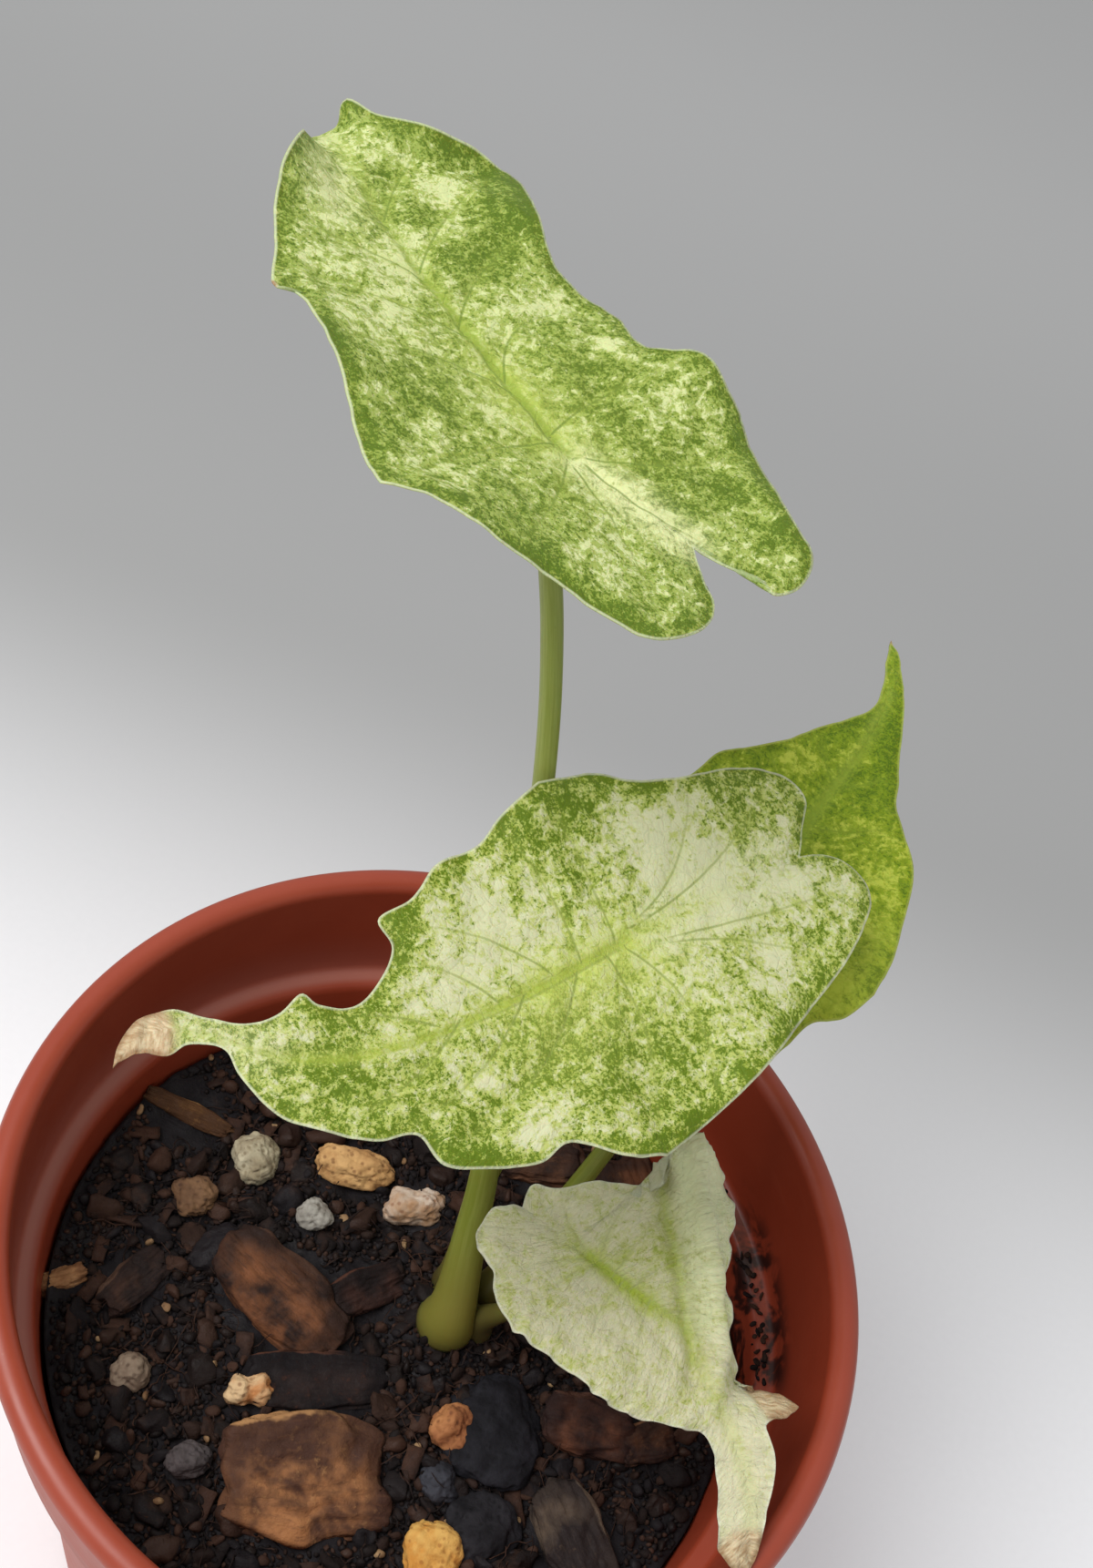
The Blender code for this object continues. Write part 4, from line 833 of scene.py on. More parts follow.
def leaf_finish(name):
    """The mottled finish of one leaf."""
    look = leaf_look(name)
    leaf = Finish(name + "_finish", Specular_IOR_Level=0.22, Subsurface_Weight=0.1,
                  Subsurface_Scale=0.0015)
    flat, _, flat_y, _ = leaf.attribute("flat")
    streak, *_ = leaf.attribute("streak")
    _, vein_side, vein_near, vein_size = leaf.attribute("veins")
    _, from_rib, edge, under = leaf.attribute("form")
    _, greener_and_painted_shading, dry, rib_size = leaf.attribute("tint")
    _, glow_mark, pale_and_painted_light_mark, vein_apart = leaf.attribute("marks")

    def share(value, weight):
        """A noise's part of a sum, centred on nothing."""
        return leaf.times(leaf.math("SUBTRACT", value, 0.5), weight)

    def total(*parts):
        """The sum of several values."""
        return leaf.math("ADD", *parts)

    region, cluster, soft, specks = (leaf.noise(flat, *values) for values in MOTTLING)
    fibres = leaf.noise(leaf.stretch(streak, (2.4, 1.0, 1)), 1.0, 3.0, 0.7)
    blobs = leaf.noise(leaf.stretch(flat, (1, 1, 1), (37, 11, 5)), 1.2, 5.0, 0.75, 0.4)
    density = total(share(region, 0.5), share(cluster, 1.15), leaf.times(greener_and_painted_shading, 0.2),
                    leaf.step(edge, 0.2, 2.4, look["rim"], 0.0))
    leafy = total(share(soft, 1.1), share(fibres, 0.35), share(specks, 0.35), density)
    dense = total(share(specks, 1.5), share(soft, 0.7), density)
    pale = total(share(blobs, 1.3), share(specks, 0.4), share(fibres, 0.3), leaf.times(density, -1.0))

    blur = look["blur"]
    creamy = leaf.step(pale, look["cream_at"] - blur, look["cream_at"] + 1.2 * blur)
    ground = leaf.mix(creamy, look["haze"], look["cream"])
    green = leaf.step(leafy, look["green_at"] - 1.2 * blur, look["green_at"] + 1.4 * blur, 0.0, 0.95)
    ground = leaf.mix(green, ground, look["green"])
    dark = leaf.step(dense, look["dark_at"] - 0.04, look["dark_at"] + 0.09, 0.0, 0.9)
    ground = leaf.mix(dark, ground, look["dark"])

    reach = put(leaf.tree, "ShaderNodeVectorMath", {0: flat}, operation="LENGTH").outputs["Value"]
    wide = total(leaf.math("ABSOLUTE", from_rib), share(soft, 1.6))
    beside = leaf.times(leaf.step(wide, 1.6, 0.3, 0.0, 0.55), rib_size)
    halo = leaf.times(leaf.step(vein_near, 0.9, 0.1), vein_size,
                      leaf.step(reach, 7.0, 1.0, look["halo"], 0.6))
    glow = leaf.math("MAXIMUM", leaf.times(glow_mark, leaf.step(soft, 0.3, 0.7, 1.0, 0.6)), beside, halo)
    ground = leaf.mix(glow, ground, look["glow"])
    # Pale streaks, and painted light and sheen where the marks are laid for it
    light = leaf.times(pale_and_painted_light_mark, leaf.step(leafy, 0.3, -0.05, 0.35, 0.95))
    ground = leaf.mix(light, ground, look["light"])
    rib_end = look["rib_end"]
    narrow = total(leaf.math("ABSOLUTE", from_rib), share(soft, 0.7))
    band = leaf.times(leaf.step(narrow, 0.75, 0.2, 0.0, 0.9), leaf.step(flat_y, -2.2, 0.4),
                      leaf.step(flat_y, rib_end, rib_end * 0.2, look["rib_low"], 0.9),
                      leaf.step(specks, 0.35, 0.6, 0.75, 1.0))
    ground = leaf.mix(band, ground, look["rib"])

    # Painted shade: a dark line along the midrib's lower edge, fading out toward the tip
    rib_shade_line = leaf.times(leaf.step(leaf.math("ABSOLUTE", total(from_rib, 0.48)), 0.28, 0.06),
                       leaf.step(flat_y, -1.0, 1.5, 0.0, look["shade"]),
                       leaf.step(flat_y, rib_end * 0.6, rib_end * 0.25))
    ground = leaf.mix(rib_shade_line, ground, look["vein"])
    line = leaf.times(leaf.step(leaf.math("ABSOLUTE", vein_side), 0.17, 0.05),
                      leaf.step(vein_near, 0.7, 0.45), leaf.step(vein_apart, 0.15, 0.6),
                      leaf.times(vein_size, look["lines"]))
    ground = leaf.mix(line, ground, look["vein"])
    wander = put(leaf.tree, "ShaderNodeTexNoise", {"Vector": flat, "Scale": 0.9}).outputs["Color"]
    net = leaf.cells(leaf.stretch(leaf.mix(0.25, flat, wander), (1.2, 1.2, 1)), 1.0, "DISTANCE_TO_EDGE")
    ground = leaf.mix(leaf.step(net, 0.05, 0.0, 0.0, 0.1), ground, look["vein"])
    ground = leaf.mix(leaf.step(edge, 0.3, 0.08, 0.0, 0.7), ground, look["margin"])
    ground = leaf.mix(leaf.times(under, 0.75), ground, look["under"])
    stripes = leaf.noise(leaf.stretch(streak, (2, 0.8, 1)), 1.0, 4.0)
    brown, straw, scorched = DRY_COLOURS
    paper = leaf.mix(leaf.step(stripes, 0.3, 0.7), brown, straw)
    paper = leaf.mix(leaf.step(edge, 0.6, 0.1, 0.0, 0.6), paper, scorched)
    leaf.drive("Base Color", leaf.mix(leaf.step(dry, 0.25, 0.6), ground, paper))

    wrinkle = leaf.noise(leaf.stretch(streak, (1.1, 0.8, 1)), 1.0, 5.0, 0.65, 0.5)
    relief = leaf.bump(wrinkle, look["wrinkle"])
    relief = leaf.bump(leaf.step(net, 0.12, 0.0, 1.0, 0.0), 0.03, relief)
    relief = leaf.bump(leaf.noise(flat, 5.0, 3.0), 0.035, relief)
    leaf.drive("Normal", relief)
    leaf.drive("Roughness", leaf.step(cluster, 0.3, 0.7, look["shine"], look["shine"] + 0.14))
    return leaf.material


# %% Blades
for blade_name in BLADES:
    blade_piece = make_blade(blade_name)
    blade_piece.name = "leaf_" + blade_name
    hand_in(blade_piece, leaf_finish(blade_name), blade_name, blade_name)

# %% [markdown]
# ## Petioles
# A petiole is a round fleshy stalk with a faint groove, widest where its sheath wraps the crown. It
# follows the same points as its solid, swept as a tube whose radius changes along it.

# %% Petioles
PETIOLES = {
    "petiole_top": {
        "blade": "blade_top", "radii": (1.9, 1.05), "sheath": [(0.8, 3.5), (0.7, 11.0)], "stain": 1.5,
        "points": [(4.8, 1.3, 62.4), (4.3, 2.9, 66.0), (3.1, 6.0, 72.4), (1.9, 8.8, 79.2),
                   (-2.2, 15.6, 98.0), (-8.2, 23.5, 123.0), (-12.7, 27.6, 137.7)],
    },
    "petiole_middle": {
        "blade": "blade_middle", "radii": (1.35, 1.0), "sheath": [(0.7, 4.5)], "stain": 6.0,
        "points": [(3.6, 5.9, 62.4), (2.7, 9.3, 69.5), (2.6, 11.8, 77.0), (4.0, 13.8, 88.0),
                   (4.6, 13.9, 100.0), (4.2, 12.8, 112.0)],
    },
    "petiole_rear": {
        "blade": "blade_rear", "radii": (1.4, 1.0), "sheath": [(0.7, 4.5)], "stain": 6.0,
        "points": [(7.7, 5.9, 62.4), (9.2, 9.0, 67.0), (11.6, 13.3, 76.0), (14.2, 20.0, 88.0),
                   (15.9, 26.8, 98.5)],
    },
    # The small petiole's long dark foot is painted shade as well as stain, where the crown shades it
    "petiole_small": {
        "blade": "blade_small", "radii": (1.25, 0.8), "sheath": [(0.5, 4.5)], "stain": 12.0,
        "points": [(8.2, 2.1, 62.4), (10.3, 1.6, 68.0), (12.8, 0.6, 77.0), (14.3, 0.1, 82.5)],
    },
}
CROWN_TOP = 61.0
PETIOLE_STATIONS = 110
PETIOLE_SIDES = 30


def stack_faces(rows, sides):
    """Faces of rows of points laid one above the other, closed to the two poles that follow them."""
    faces = []
    low_pole = rows * sides
    top = (rows - 1) * sides
    for i in range(sides):
        j = (i + 1) % sides
        faces += [(k + i, k + j, k + sides + j, k + sides + i) for k in range(0, top, sides)]
        faces += [(low_pole, j, i), (low_pole + 1, top + i, top + j)]
    return faces


def tube(path, radii, sides, groove=0.0):
    """Points and faces of a closed tube along a path, with a radius for each point."""
    way = np.gradient(path, axis=0)
    way /= np.linalg.norm(way, axis=1, keepdims=True)
    side = np.cross(way[0], [0, 1, 0])
    angles = np.linspace(0, 2 * math.pi, sides, endpoint=False)
    shape = 1 - groove * np.exp(-((angles - math.pi) / 0.35) ** 2)
    rings = []
    for point, along, radius in zip(path, way, radii):
        side = side - along * (side @ along)
        side /= np.linalg.norm(side)
        other = np.cross(along, side)
        rings.append(point + radius * ((np.cos(angles) * shape)[:, None] * side
                                       + (np.sin(angles) * shape)[:, None] * other))
    return np.vstack([*rings, path[:1], path[-1:]]), stack_faces(len(path), sides)


def make_petiole(name):
    """One petiole from the crown to the underside of its blade."""
    petiole = PETIOLES[name]
    blade = BLADES[petiole["blade"]]
    junction = np.array(blade["junction"])
    out = blade_axes(blade)[2]
    foot = (*petiole["points"][0][:2], CROWN_TOP - 1.5)
    route = [foot, *petiole["points"], tuple(junction - out * 3.0), tuple(junction - out * 0.75)]
    t = np.linspace(0, 1, PETIOLE_STATIONS)
    path = smooth_curve(route, t)
    length = np.linalg.norm(np.diff(path, axis=0), axis=1).sum()
    low, high = petiole["radii"]
    radii = low + (high - low) * np.minimum(1, t * 2.2)
    for flare, reach in petiole["sheath"]:
        radii += flare * np.exp(-(t * length / reach) ** 2)
    radii += 0.5 * np.exp(-((1 - t) * length / 1.2) ** 2)
    made = add_mesh(name + "_stalk", *tube(path, radii, PETIOLE_SIDES, 0.05))
    around = np.tile(np.arange(PETIOLE_SIDES) / PETIOLE_SIDES * 2 * math.pi, PETIOLE_STATIONS)
    up = np.append(np.repeat(t * length, PETIOLE_SIDES), [0, length])
    turned = [np.append(wave(around), [0, 0]) for wave in (np.sin, np.cos)]
    carry(made, "stalk", np.column_stack([*turned, up]))
    carry(made, "foot", np.repeat(np.exp(-(up / petiole["stain"]) ** 2), 3))
    return made


stalk = Finish("petiole_finish", Roughness=0.42, Specular_IOR_Level=0.45, Subsurface_Weight=0.15,
               Subsurface_Scale=0.002)
stalk_place, _, _, stalk_up = stalk.attribute("stalk")
stripes = stalk.noise(stalk.stretch(stalk_place, (5, 5, 0.12)), 1.0, 4.0, 0.7)
freckles = stalk.noise(stalk.stretch(stalk_place, (3, 3, 1.6)), 1.0, 3.0, 0.7)
_, stalk_stain_and_shade, _, _ = stalk.attribute("foot")
green_stalk = stalk.mix(stalk.step(stripes, 0.35, 0.7), colour(126, 137, 48), colour(142, 152, 68))
green_stalk = stalk.mix(stalk.step(freckles, 0.6, 0.75, 0.0, 0.35), green_stalk, colour(104, 120, 44))
green_stalk = stalk.mix(stalk.step(stalk_up, 18.0, 4.0), green_stalk, colour(132, 128, 54))
# The foot browns where soil stains it; on the small petiole the long dark foot is painted shade as well
green_stalk = stalk.mix(stalk.times(stalk_stain_and_shade, 0.85), green_stalk, colour(64, 54, 32))
stalk.drive("Base Color", green_stalk)
stalk.drive("Normal", stalk.bump(stripes, 0.03))
for petiole_name in PETIOLES:
    hand_in(make_petiole(petiole_name), stalk.material, "petiole", petiole_name)

# %% [markdown]
# ## Pot
# A nursery pot is moulded from thin plastic, round its axis. Geometry Nodes can turn it: the piece's
# own mesh is the half section as a line, which Curve to Mesh sweeps round a circle. The drain holes
# repeat round the floor, so they are instances of one drill, taken away by a Boolean in the same tree.

# %% Pot profile
POT_HEIGHT = 80.0
RIM_RADIUS = 45.0
LIP_WIDTH = 3.1
RIM_BAND_DEPTH = 16.0
RIM_BAND_WALL = 1.5
LEDGE_RADIUS = 38.6
LEDGE_WIDTH = 2.3
WALL = 1.3
BASE_RADIUS = 31.5
FLOOR = 1.6
DRAIN_HOLES = 8
DRAIN_RADIUS = 3.0
DRAIN_CIRCLE = 21.0
POT_SEGMENTS = 192
SWEEP_RADIUS = 20.0


def straight(start, end, count):
    """Points on a straight line, with both its ends."""
    return np.linspace(start, end, count).tolist()


def pot_profile():
    """Half section from the middle of the floor, up the inside, round the lip and down the outside."""
    ledge = POT_HEIGHT - RIM_BAND_DEPTH
    lip = LIP_WIDTH / 2
    lip_middle = (RIM_RADIUS - lip, POT_HEIGHT - lip)
    foot = BASE_RADIUS - WALL
    band = LEDGE_RADIUS + LEDGE_WIDTH
    outer = band + RIM_BAND_WALL
    under_lip = POT_HEIGHT - LIP_WIDTH - 0.8
    inside = [(0, FLOOR), (12, FLOOR), (foot - 2, FLOOR), (foot - 0.6, FLOOR + 0.4), (foot, FLOOR + 1.6)]
    inside += straight((foot, FLOOR), (LEDGE_RADIUS, ledge), 12)[1:-1]
    inside += [(LEDGE_RADIUS - 0.1, ledge - 1.0), (LEDGE_RADIUS + 0.15, ledge - 0.15),
               (LEDGE_RADIUS + 0.5, ledge + 0.1), (band - 0.6, ledge + 0.35), (band - 0.15, ledge + 0.7),
               (band, ledge + 1.4)]
    inside += straight((band, ledge + 1.4), (lip_middle[0] - lip, lip_middle[1] - 1.2), 8)[1:-1]
    turn = [(lip_middle[0] + lip * math.cos(a), lip_middle[1] + lip * math.sin(a))
            for a in np.radians(np.linspace(180, -50, 24))]
    outside = [(outer + 0.75, under_lip + 0.7), (outer + 0.65, under_lip)]
    outside += straight((outer + 0.65, under_lip), (outer, under_lip - RIM_BAND_DEPTH + LIP_WIDTH), 8)[1:]
    outside += [(outer - 0.3, ledge - 1.1), (outer - 1.0, ledge - 1.25),
                (LEDGE_RADIUS + WALL + 0.1, ledge - 1.35)]
    outside += straight((LEDGE_RADIUS + WALL, ledge - 1.9), (BASE_RADIUS, 1.2), 14)
    outside += [(BASE_RADIUS - 0.3, 0.5), (BASE_RADIUS - 1.0, 0.05), (BASE_RADIUS - 1.6, 0), (12, 0), (0, 0)]
    return [*inside, *turn, *outside]


def new_tree(name, inputs):
    """A Geometry Nodes tree that takes a shape and the named inputs, and hands a shape on."""
    tree = bpy.data.node_groups.new(name, "GeometryNodeTree")
    tree.interface.new_socket("Geometry", in_out="INPUT", socket_type="NodeSocketGeometry")
    for key, kind, default in inputs:
        made = tree.interface.new_socket(key, in_out="INPUT", socket_type="NodeSocket" + kind)
        if default is not None:
            made.default_value = default
    tree.interface.new_socket("Geometry", in_out="OUTPUT", socket_type="NodeSocketGeometry")
    return tree, put(tree, "NodeGroupInput").outputs


def geometry(tree, kind, inputs=None, **options):
    """The first output of a new Geometry Nodes node."""
    return put(tree, "GeometryNode" + kind, inputs, **options).outputs[0]


def run_tree(piece, tree, values):
    """Put the tree on the piece with its inputs set, and turn what it makes into the piece's own mesh."""
    modifier = piece.modifiers.new(tree.name, "NODES")
    modifier.node_group = tree
    for item in tree.interface.items_tree:
        if item.in_out == "INPUT" and item.name in values:
            modifier[item.identifier] = values[item.name]
    bpy.context.view_layer.update()
    graph = bpy.context.evaluated_depsgraph_get()
    mesh = bpy.data.meshes.new_from_object(piece.evaluated_get(graph))
    piece.modifiers.remove(modifier)
    piece.data = mesh


# %% Pot tree
DRILL_SIDES = 32
DRILL_DEPTH = 6.0


def turned_tree():
    """Sweeps the piece's own half section round a circle, closes it, and drills the drain holes."""
    tree, given = new_tree("turned_pot", [
        ("Sweep radius", "Float", SWEEP_RADIUS * MM), ("Segments", "Int", POT_SEGMENTS),
        ("Drain holes", "Int", DRAIN_HOLES), ("Drain radius", "Float", DRAIN_RADIUS * MM),
        ("Drain circle", "Float", DRAIN_CIRCLE * MM), ("Plastic", "Material", None)])
    section = geometry(tree, "MeshToCurve", {"Mesh": given["Geometry"]})
    circle = geometry(tree, "CurvePrimitiveCircle", {
        "Resolution": given["Segments"], "Radius": given["Sweep radius"]})
    swept = geometry(tree, "CurveToMesh", {"Curve": circle, "Profile Curve": section})
    closed = geometry(tree, "MergeByDistance", {"Geometry": swept, "Distance": 0.01 * MM})
    ring = geometry(tree, "MeshCircle", {"Vertices": given["Drain holes"], "Radius": given["Drain circle"]})
    drill = geometry(tree, "MeshCylinder", {
        "Vertices": DRILL_SIDES, "Radius": given["Drain radius"], "Depth": DRILL_DEPTH * MM})
    drills = geometry(tree, "InstanceOnPoints", {"Points": ring, "Instance": drill})
    cutters = geometry(tree, "RealizeInstances", {0: drills})
    cut = geometry(tree, "MeshBoolean", {"Mesh 1": closed, "Mesh 2": cutters}, operation="DIFFERENCE")
    named = geometry(tree, "SetMaterial", {"Geometry": cut, "Material": given["Plastic"]})
    put(tree, "NodeGroupOutput", {0: named})
    return tree


# %% Pot finish
# Soil is smeared on the inner ledge on one side: where it starts, is full, thins and ends, as angles
# round the pot and as heights. A side counts as inner out to a radius below and above the ledge.
SMEAR_ANGLES = np.radians((4, 12, 30, 46))
SMEAR_HEIGHTS = np.array((58.8, 59.6, 65.5, 69.5)) * MM
LEDGE_STEP = np.array((63.4, 63.8)) * MM
INNER_RADII = np.array((39.1, 41.3)) * MM
# A painted highlight pales the ledge to pink on the other side, as the lamp's reflection
LEDGE_HIGHLIGHT_RADII = np.array((38.9, 39.9, 40.2, 41.5)) * MM
LEDGE_HIGHLIGHT_HEIGHTS = np.array((63.2, 63.8)) * MM
LEDGE_HIGHLIGHT_ANGLES = (1.2, 2.2)
LEDGE_HIGHLIGHT_SHARE = 0.42

plastic = Finish("pot_finish", Specular_IOR_Level=0.5)
pot_place = plastic.place()
clouds = plastic.noise(pot_place, 60.0, 4.0, 0.6)
swirl = plastic.noise(plastic.stretch(pot_place, (90, 90, 420)), 1.0, 3.0, 0.6)
dust = plastic.noise(pot_place, 700.0, 4.0, 0.75)
red = plastic.mix(clouds, colour(144, 55, 33), colour(161, 67, 42))
red = plastic.mix(plastic.step(swirl, 0.55, 0.8, 0.0, 0.25), red, colour(170, 80, 54))
red = plastic.mix(plastic.step(dust, 0.66, 0.8, 0.0, 0.3), red, colour(180, 124, 100))

pot_x, pot_y, pot_z = put(plastic.tree, "ShaderNodeSeparateXYZ", {0: pot_place}).outputs
pot_angle = plastic.math("ARCTAN2", pot_y, pot_x)
pot_square = plastic.math("ADD", plastic.times(pot_x, pot_x), plastic.times(pot_y, pot_y))
pot_radius = plastic.math("SQRT", pot_square)
painted_ledge_highlight = plastic.times(plastic.window(pot_radius, *LEDGE_HIGHLIGHT_RADII), plastic.step(pot_z, *LEDGE_HIGHLIGHT_HEIGHTS),
                      plastic.step(plastic.math("ABSOLUTE", pot_angle), *LEDGE_HIGHLIGHT_ANGLES, 0.0, LEDGE_HIGHLIGHT_SHARE))
# Painted highlight: the lamp's reflection on the ledge
red = plastic.mix(painted_ledge_highlight, red, colour(196, 138, 126))
past_side = plastic.math("SUBTRACT", pot_radius, plastic.step(pot_z, *LEDGE_STEP, *INNER_RADII))
smears = plastic.noise(pot_place, 230.0, 4.0, 0.6, 0.4)
dirt = plastic.times(plastic.step(past_side, 0.2 * MM, -0.2 * MM), plastic.window(pot_z, *SMEAR_HEIGHTS),
                     plastic.window(pot_angle, *SMEAR_ANGLES), plastic.step(smears, 0.43, 0.54, 0.0, 0.92))
red = plastic.mix(dirt, red, colour(30, 16, 14))
plastic.drive("Base Color", red)
plastic.drive("Roughness", plastic.step(clouds, 0.3, 0.7, 0.34, 0.5))
flow = plastic.bump(swirl, 0.03)
plastic.drive("Normal", plastic.bump(plastic.noise(pot_place, 900.0, 3.0), 0.012, flow))

# %% Pot piece
section_points = [(r - SWEEP_RADIUS, -z, 0) for r, z in pot_profile()]
pot_mesh = bpy.data.meshes.new("nursery_pot")
section_edges = [(k, k + 1) for k in range(len(section_points) - 1)]
pot_mesh.from_pydata([Vector(point) * MM for point in section_points], section_edges, [])
pot_piece = link_object("nursery_pot", pot_mesh)
run_tree(pot_piece, turned_tree(), {
    "Sweep radius": SWEEP_RADIUS * MM, "Segments": POT_SEGMENTS, "Drain holes": DRAIN_HOLES,
    "Drain radius": DRAIN_RADIUS * MM, "Drain circle": DRAIN_CIRCLE * MM, "Plastic": plastic.material})
pot_box = np.array([vert.co for vert in pot_piece.data.vertices])
print("pot", pot_box.min(0), pot_box.max(0))
pot_piece.data.shade_smooth()
pot_piece.data.set_sharp_from_angle(angle=math.radians(50))
hand_in(pot_piece, plastic.material, "pot", "pot")

# %% [markdown]
# ## Soil
# Potting mix is dark, damp peat with fibres, bark and grit in it. One body with a fine relief fills
# the pot, with the same broad hills as its solid. What lies loose on it is made afterwards, on top.

# %% Soil body
SOIL_LEVEL = 58.6
SOIL_RINGS = 96
SOIL_SEGMENTS = 230
CLEARANCE = 0.4
CROWN = (5.6, 3.6)
CROWN_CLEAR = 3.7
CROWN_MOUND = 1.3
MOUND_REACH = 6.0
# Each heap against the wall: height, angle round the pot and spread, in millimetres and radians
HEAPS = [(3.0, 0.3, 0.28), (1.7, 3.35, 0.6)]
# Each noise: size of its bumps, place in the noise and height
HILLS = ((9.0, 3.1, 1.3), (3.6, 7.7, 0.6))
CLODDING = ((1.5, 11.3, 0.5), (0.6, 15.1, 0.25))


def wall_radius(z):
    """Inside radius of the pot's tapering wall at a height below the ledge."""
    return float(np.interp(z, [FLOOR, POT_HEIGHT - RIM_BAND_DEPTH], [BASE_RADIUS - WALL, LEDGE_RADIUS]))


def add_bumps(level, x, y, noises):
    """A height with the bumps of some noises added to it."""
    for size, place, height in noises:
        level += height * noise.noise(Vector((x / size, y / size, place)))
    return level


def soil_height(x, y):
    """The broad relief of the soil's surface, as in its solid."""
    return add_bumps(SOIL_LEVEL, x, y, HILLS)


def soil_relief(x, y):
    """The fine relief: clods down to half a millimetre, a low mound round the crown, and a heap
    against the wall on two sides."""
    mound = CROWN_MOUND * math.exp(-math.dist((x, y), CROWN) ** 2 / MOUND_REACH ** 2)
    turn = math.atan2(y, x) % (2 * math.pi)
    heap = sum(height * math.exp(-((turn - angle) / spread) ** 2) for height, angle, spread in HEAPS)
    heap *= (math.hypot(x, y) / LEDGE_RADIUS) ** 12
    return add_bumps(soil_height(x, y) + mound + heap, x, y, CLODDING)


def make_soil():
    """The filled body, closed down its side and across its bottom."""
    edge = wall_radius(SOIL_LEVEL) - CLEARANCE
    bottom = FLOOR + CLEARANCE
    angles = np.linspace(0, 2 * math.pi, SOIL_SEGMENTS, endpoint=False)
    points = [(0, 0, soil_relief(0, 0))]
    for k in range(1, SOIL_RINGS + 1):
        radius = edge * k / SOIL_RINGS
        for a in angles:
            x, y = radius * math.cos(a), radius * math.sin(a)
            points.append((x, y, soil_relief(x, y)))
    low = wall_radius(bottom) - CLEARANCE
    points += [(low * math.cos(a), low * math.sin(a), bottom) for a in angles]
    points.append((0, 0, bottom))
    count = SOIL_SEGMENTS
    faces = []
    for i in range(count):
        j = (i + 1) % count
        faces.append((0, 1 + i, 1 + j))
        for ring in range(SOIL_RINGS):
            near, far = 1 + ring * count, 1 + (ring + 1) * count
            faces.append((near + i, far + i, far + j, near + j))
        last = 1 + SOIL_RINGS * count
        faces.append((len(points) - 1, last + j, last + i))
    return add_mesh("potting_mix", points, faces)


def earth_finish():
    """Damp peat: near black, browner on some crumbs, with a faint wet sheen."""
    earth = Finish("potting_mix_finish", Specular_IOR_Level=0.22)
    place = earth.place()
    tone = put(earth.tree, "ShaderNodeAttribute", attribute_name="tone").outputs["Fac"]
    speck = earth.noise(place, 700.0, 4.0, 0.7)
    base = earth.mix(speck, colour(14, 11, 12), colour(36, 26, 23))
    base = earth.mix(earth.step(tone, 0.45, 1.0, 0.0, 0.85), base, colour(70, 47, 36))
    brown = earth.step(earth.noise(place, 260.0, 3.0), 0.56, 0.7, 0.0, 0.55)
    base = earth.mix(brown, base, colour(66, 45, 34))
    base = earth.mix(earth.step(tone, 0.3, 0.0, 0.0, 0.5), base, colour(30, 29, 34))
    earth.drive("Base Color", base)
    earth.drive("Roughness", earth.step(earth.noise(place, 300.0, 3.0), 0.3, 0.7, 0.5, 0.95))
    earth.drive("Normal", earth.bump(earth.noise(place, 1500.0, 4.0, 0.7), 0.2))
    return earth.material


earth_material = earth_finish()
soil_piece = make_soil()
hand_in(soil_piece, earth_material, "soil", "soil")

# %% [markdown]
# ## Bark chips and grit
# Each large chip and grain has its own solid. Its fine piece starts from the same shape and size at
# the same place, with many more points, and gets layers and fibres for bark or pits for pumice. The
# small chips and the clods have no solid.

# %% Loose piece tables
# Each piece: x, y, length, width, height, turn and tilt, in millimetres and degrees
BARK = {
    "bark_1": (-3.0, -20.5, 16.5, 13.0, 4.6, 22, 14),
    "bark_2": (-12.6, -3.2, 15.5, 8.5, 4.2, -21, 10),
    "bark_3": (22.8, -3.2, 9.5, 6.5, 3.6, 10, 12),
    "bark_4": (25.4, -15.6, 12.0, 7.0, 3.8, -48, 6),
    "bark_5": (20.5, 22.8, 13.0, 8.0, 4.0, 120, -8),
}
PEBBLES = {
    "pebble_cream_1": (-21.4, 10.6, 5.0, 5.4, 4.6, 20, 0),
    "pebble_cream_2": (-2.9, 13.2, 6.8, 4.6, 4.2, 24, 0),
    "pebble_tan_1": (-11.2, 14.4, 8.6, 4.8, 4.2, 10, 0),
    "pebble_tan_2": (-11.8, -14.0, 5.0, 3.8, 3.6, 30, 0),
    "pebble_tan_3": (9.3, -9.6, 5.0, 4.8, 4.4, -40, 0),
    "pebble_yellow": (11.6, -22.3, 6.4, 6.8, 5.2, 15, 0),
    "pebble_white": (-12.9, 6.9, 3.8, 3.8, 3.4, 0, 0),
    "pebble_grey": (-14.6, -23.4, 4.8, 3.6, 3.2, 25, 0),
    "pebble_dim": (-25.6, 3.6, 5.0, 4.4, 3.8, -10, 0),
    "pebble_pale": (-23.6, -17.2, 4.2, 3.8, 3.2, 45, 0),
}
GRIT_PALE = ("pebble_cream_1", "pebble_cream_2", "pebble_white", "pebble_pale", "pebble_grey")
SMALL_CHIPS = {
    "slab_chip": (-5.8, -10.3, 14.5, 6.2, 2.0, 24, 5),
    "split_chip": (-4.4, 1.6, 9.0, 4.6, 2.6, 48, 12),
    "edge_chip": (-27.6, -8.0, 8.0, 4.4, 2.4, 70, 10),
    "right_chip": (29.5, -2.2, 7.0, 4.5, 2.6, 35, 8),
    "stick_chip": (-30.4, 12.6, 10.0, 2.4, 2.0, -2, 6),
    "tan_chip": (-34.3, -10.8, 4.8, 2.2, 2.0, 42, -14),
    "back_chip": (8.0, 24.0, 9.0, 5.2, 2.8, 15, -10),
}
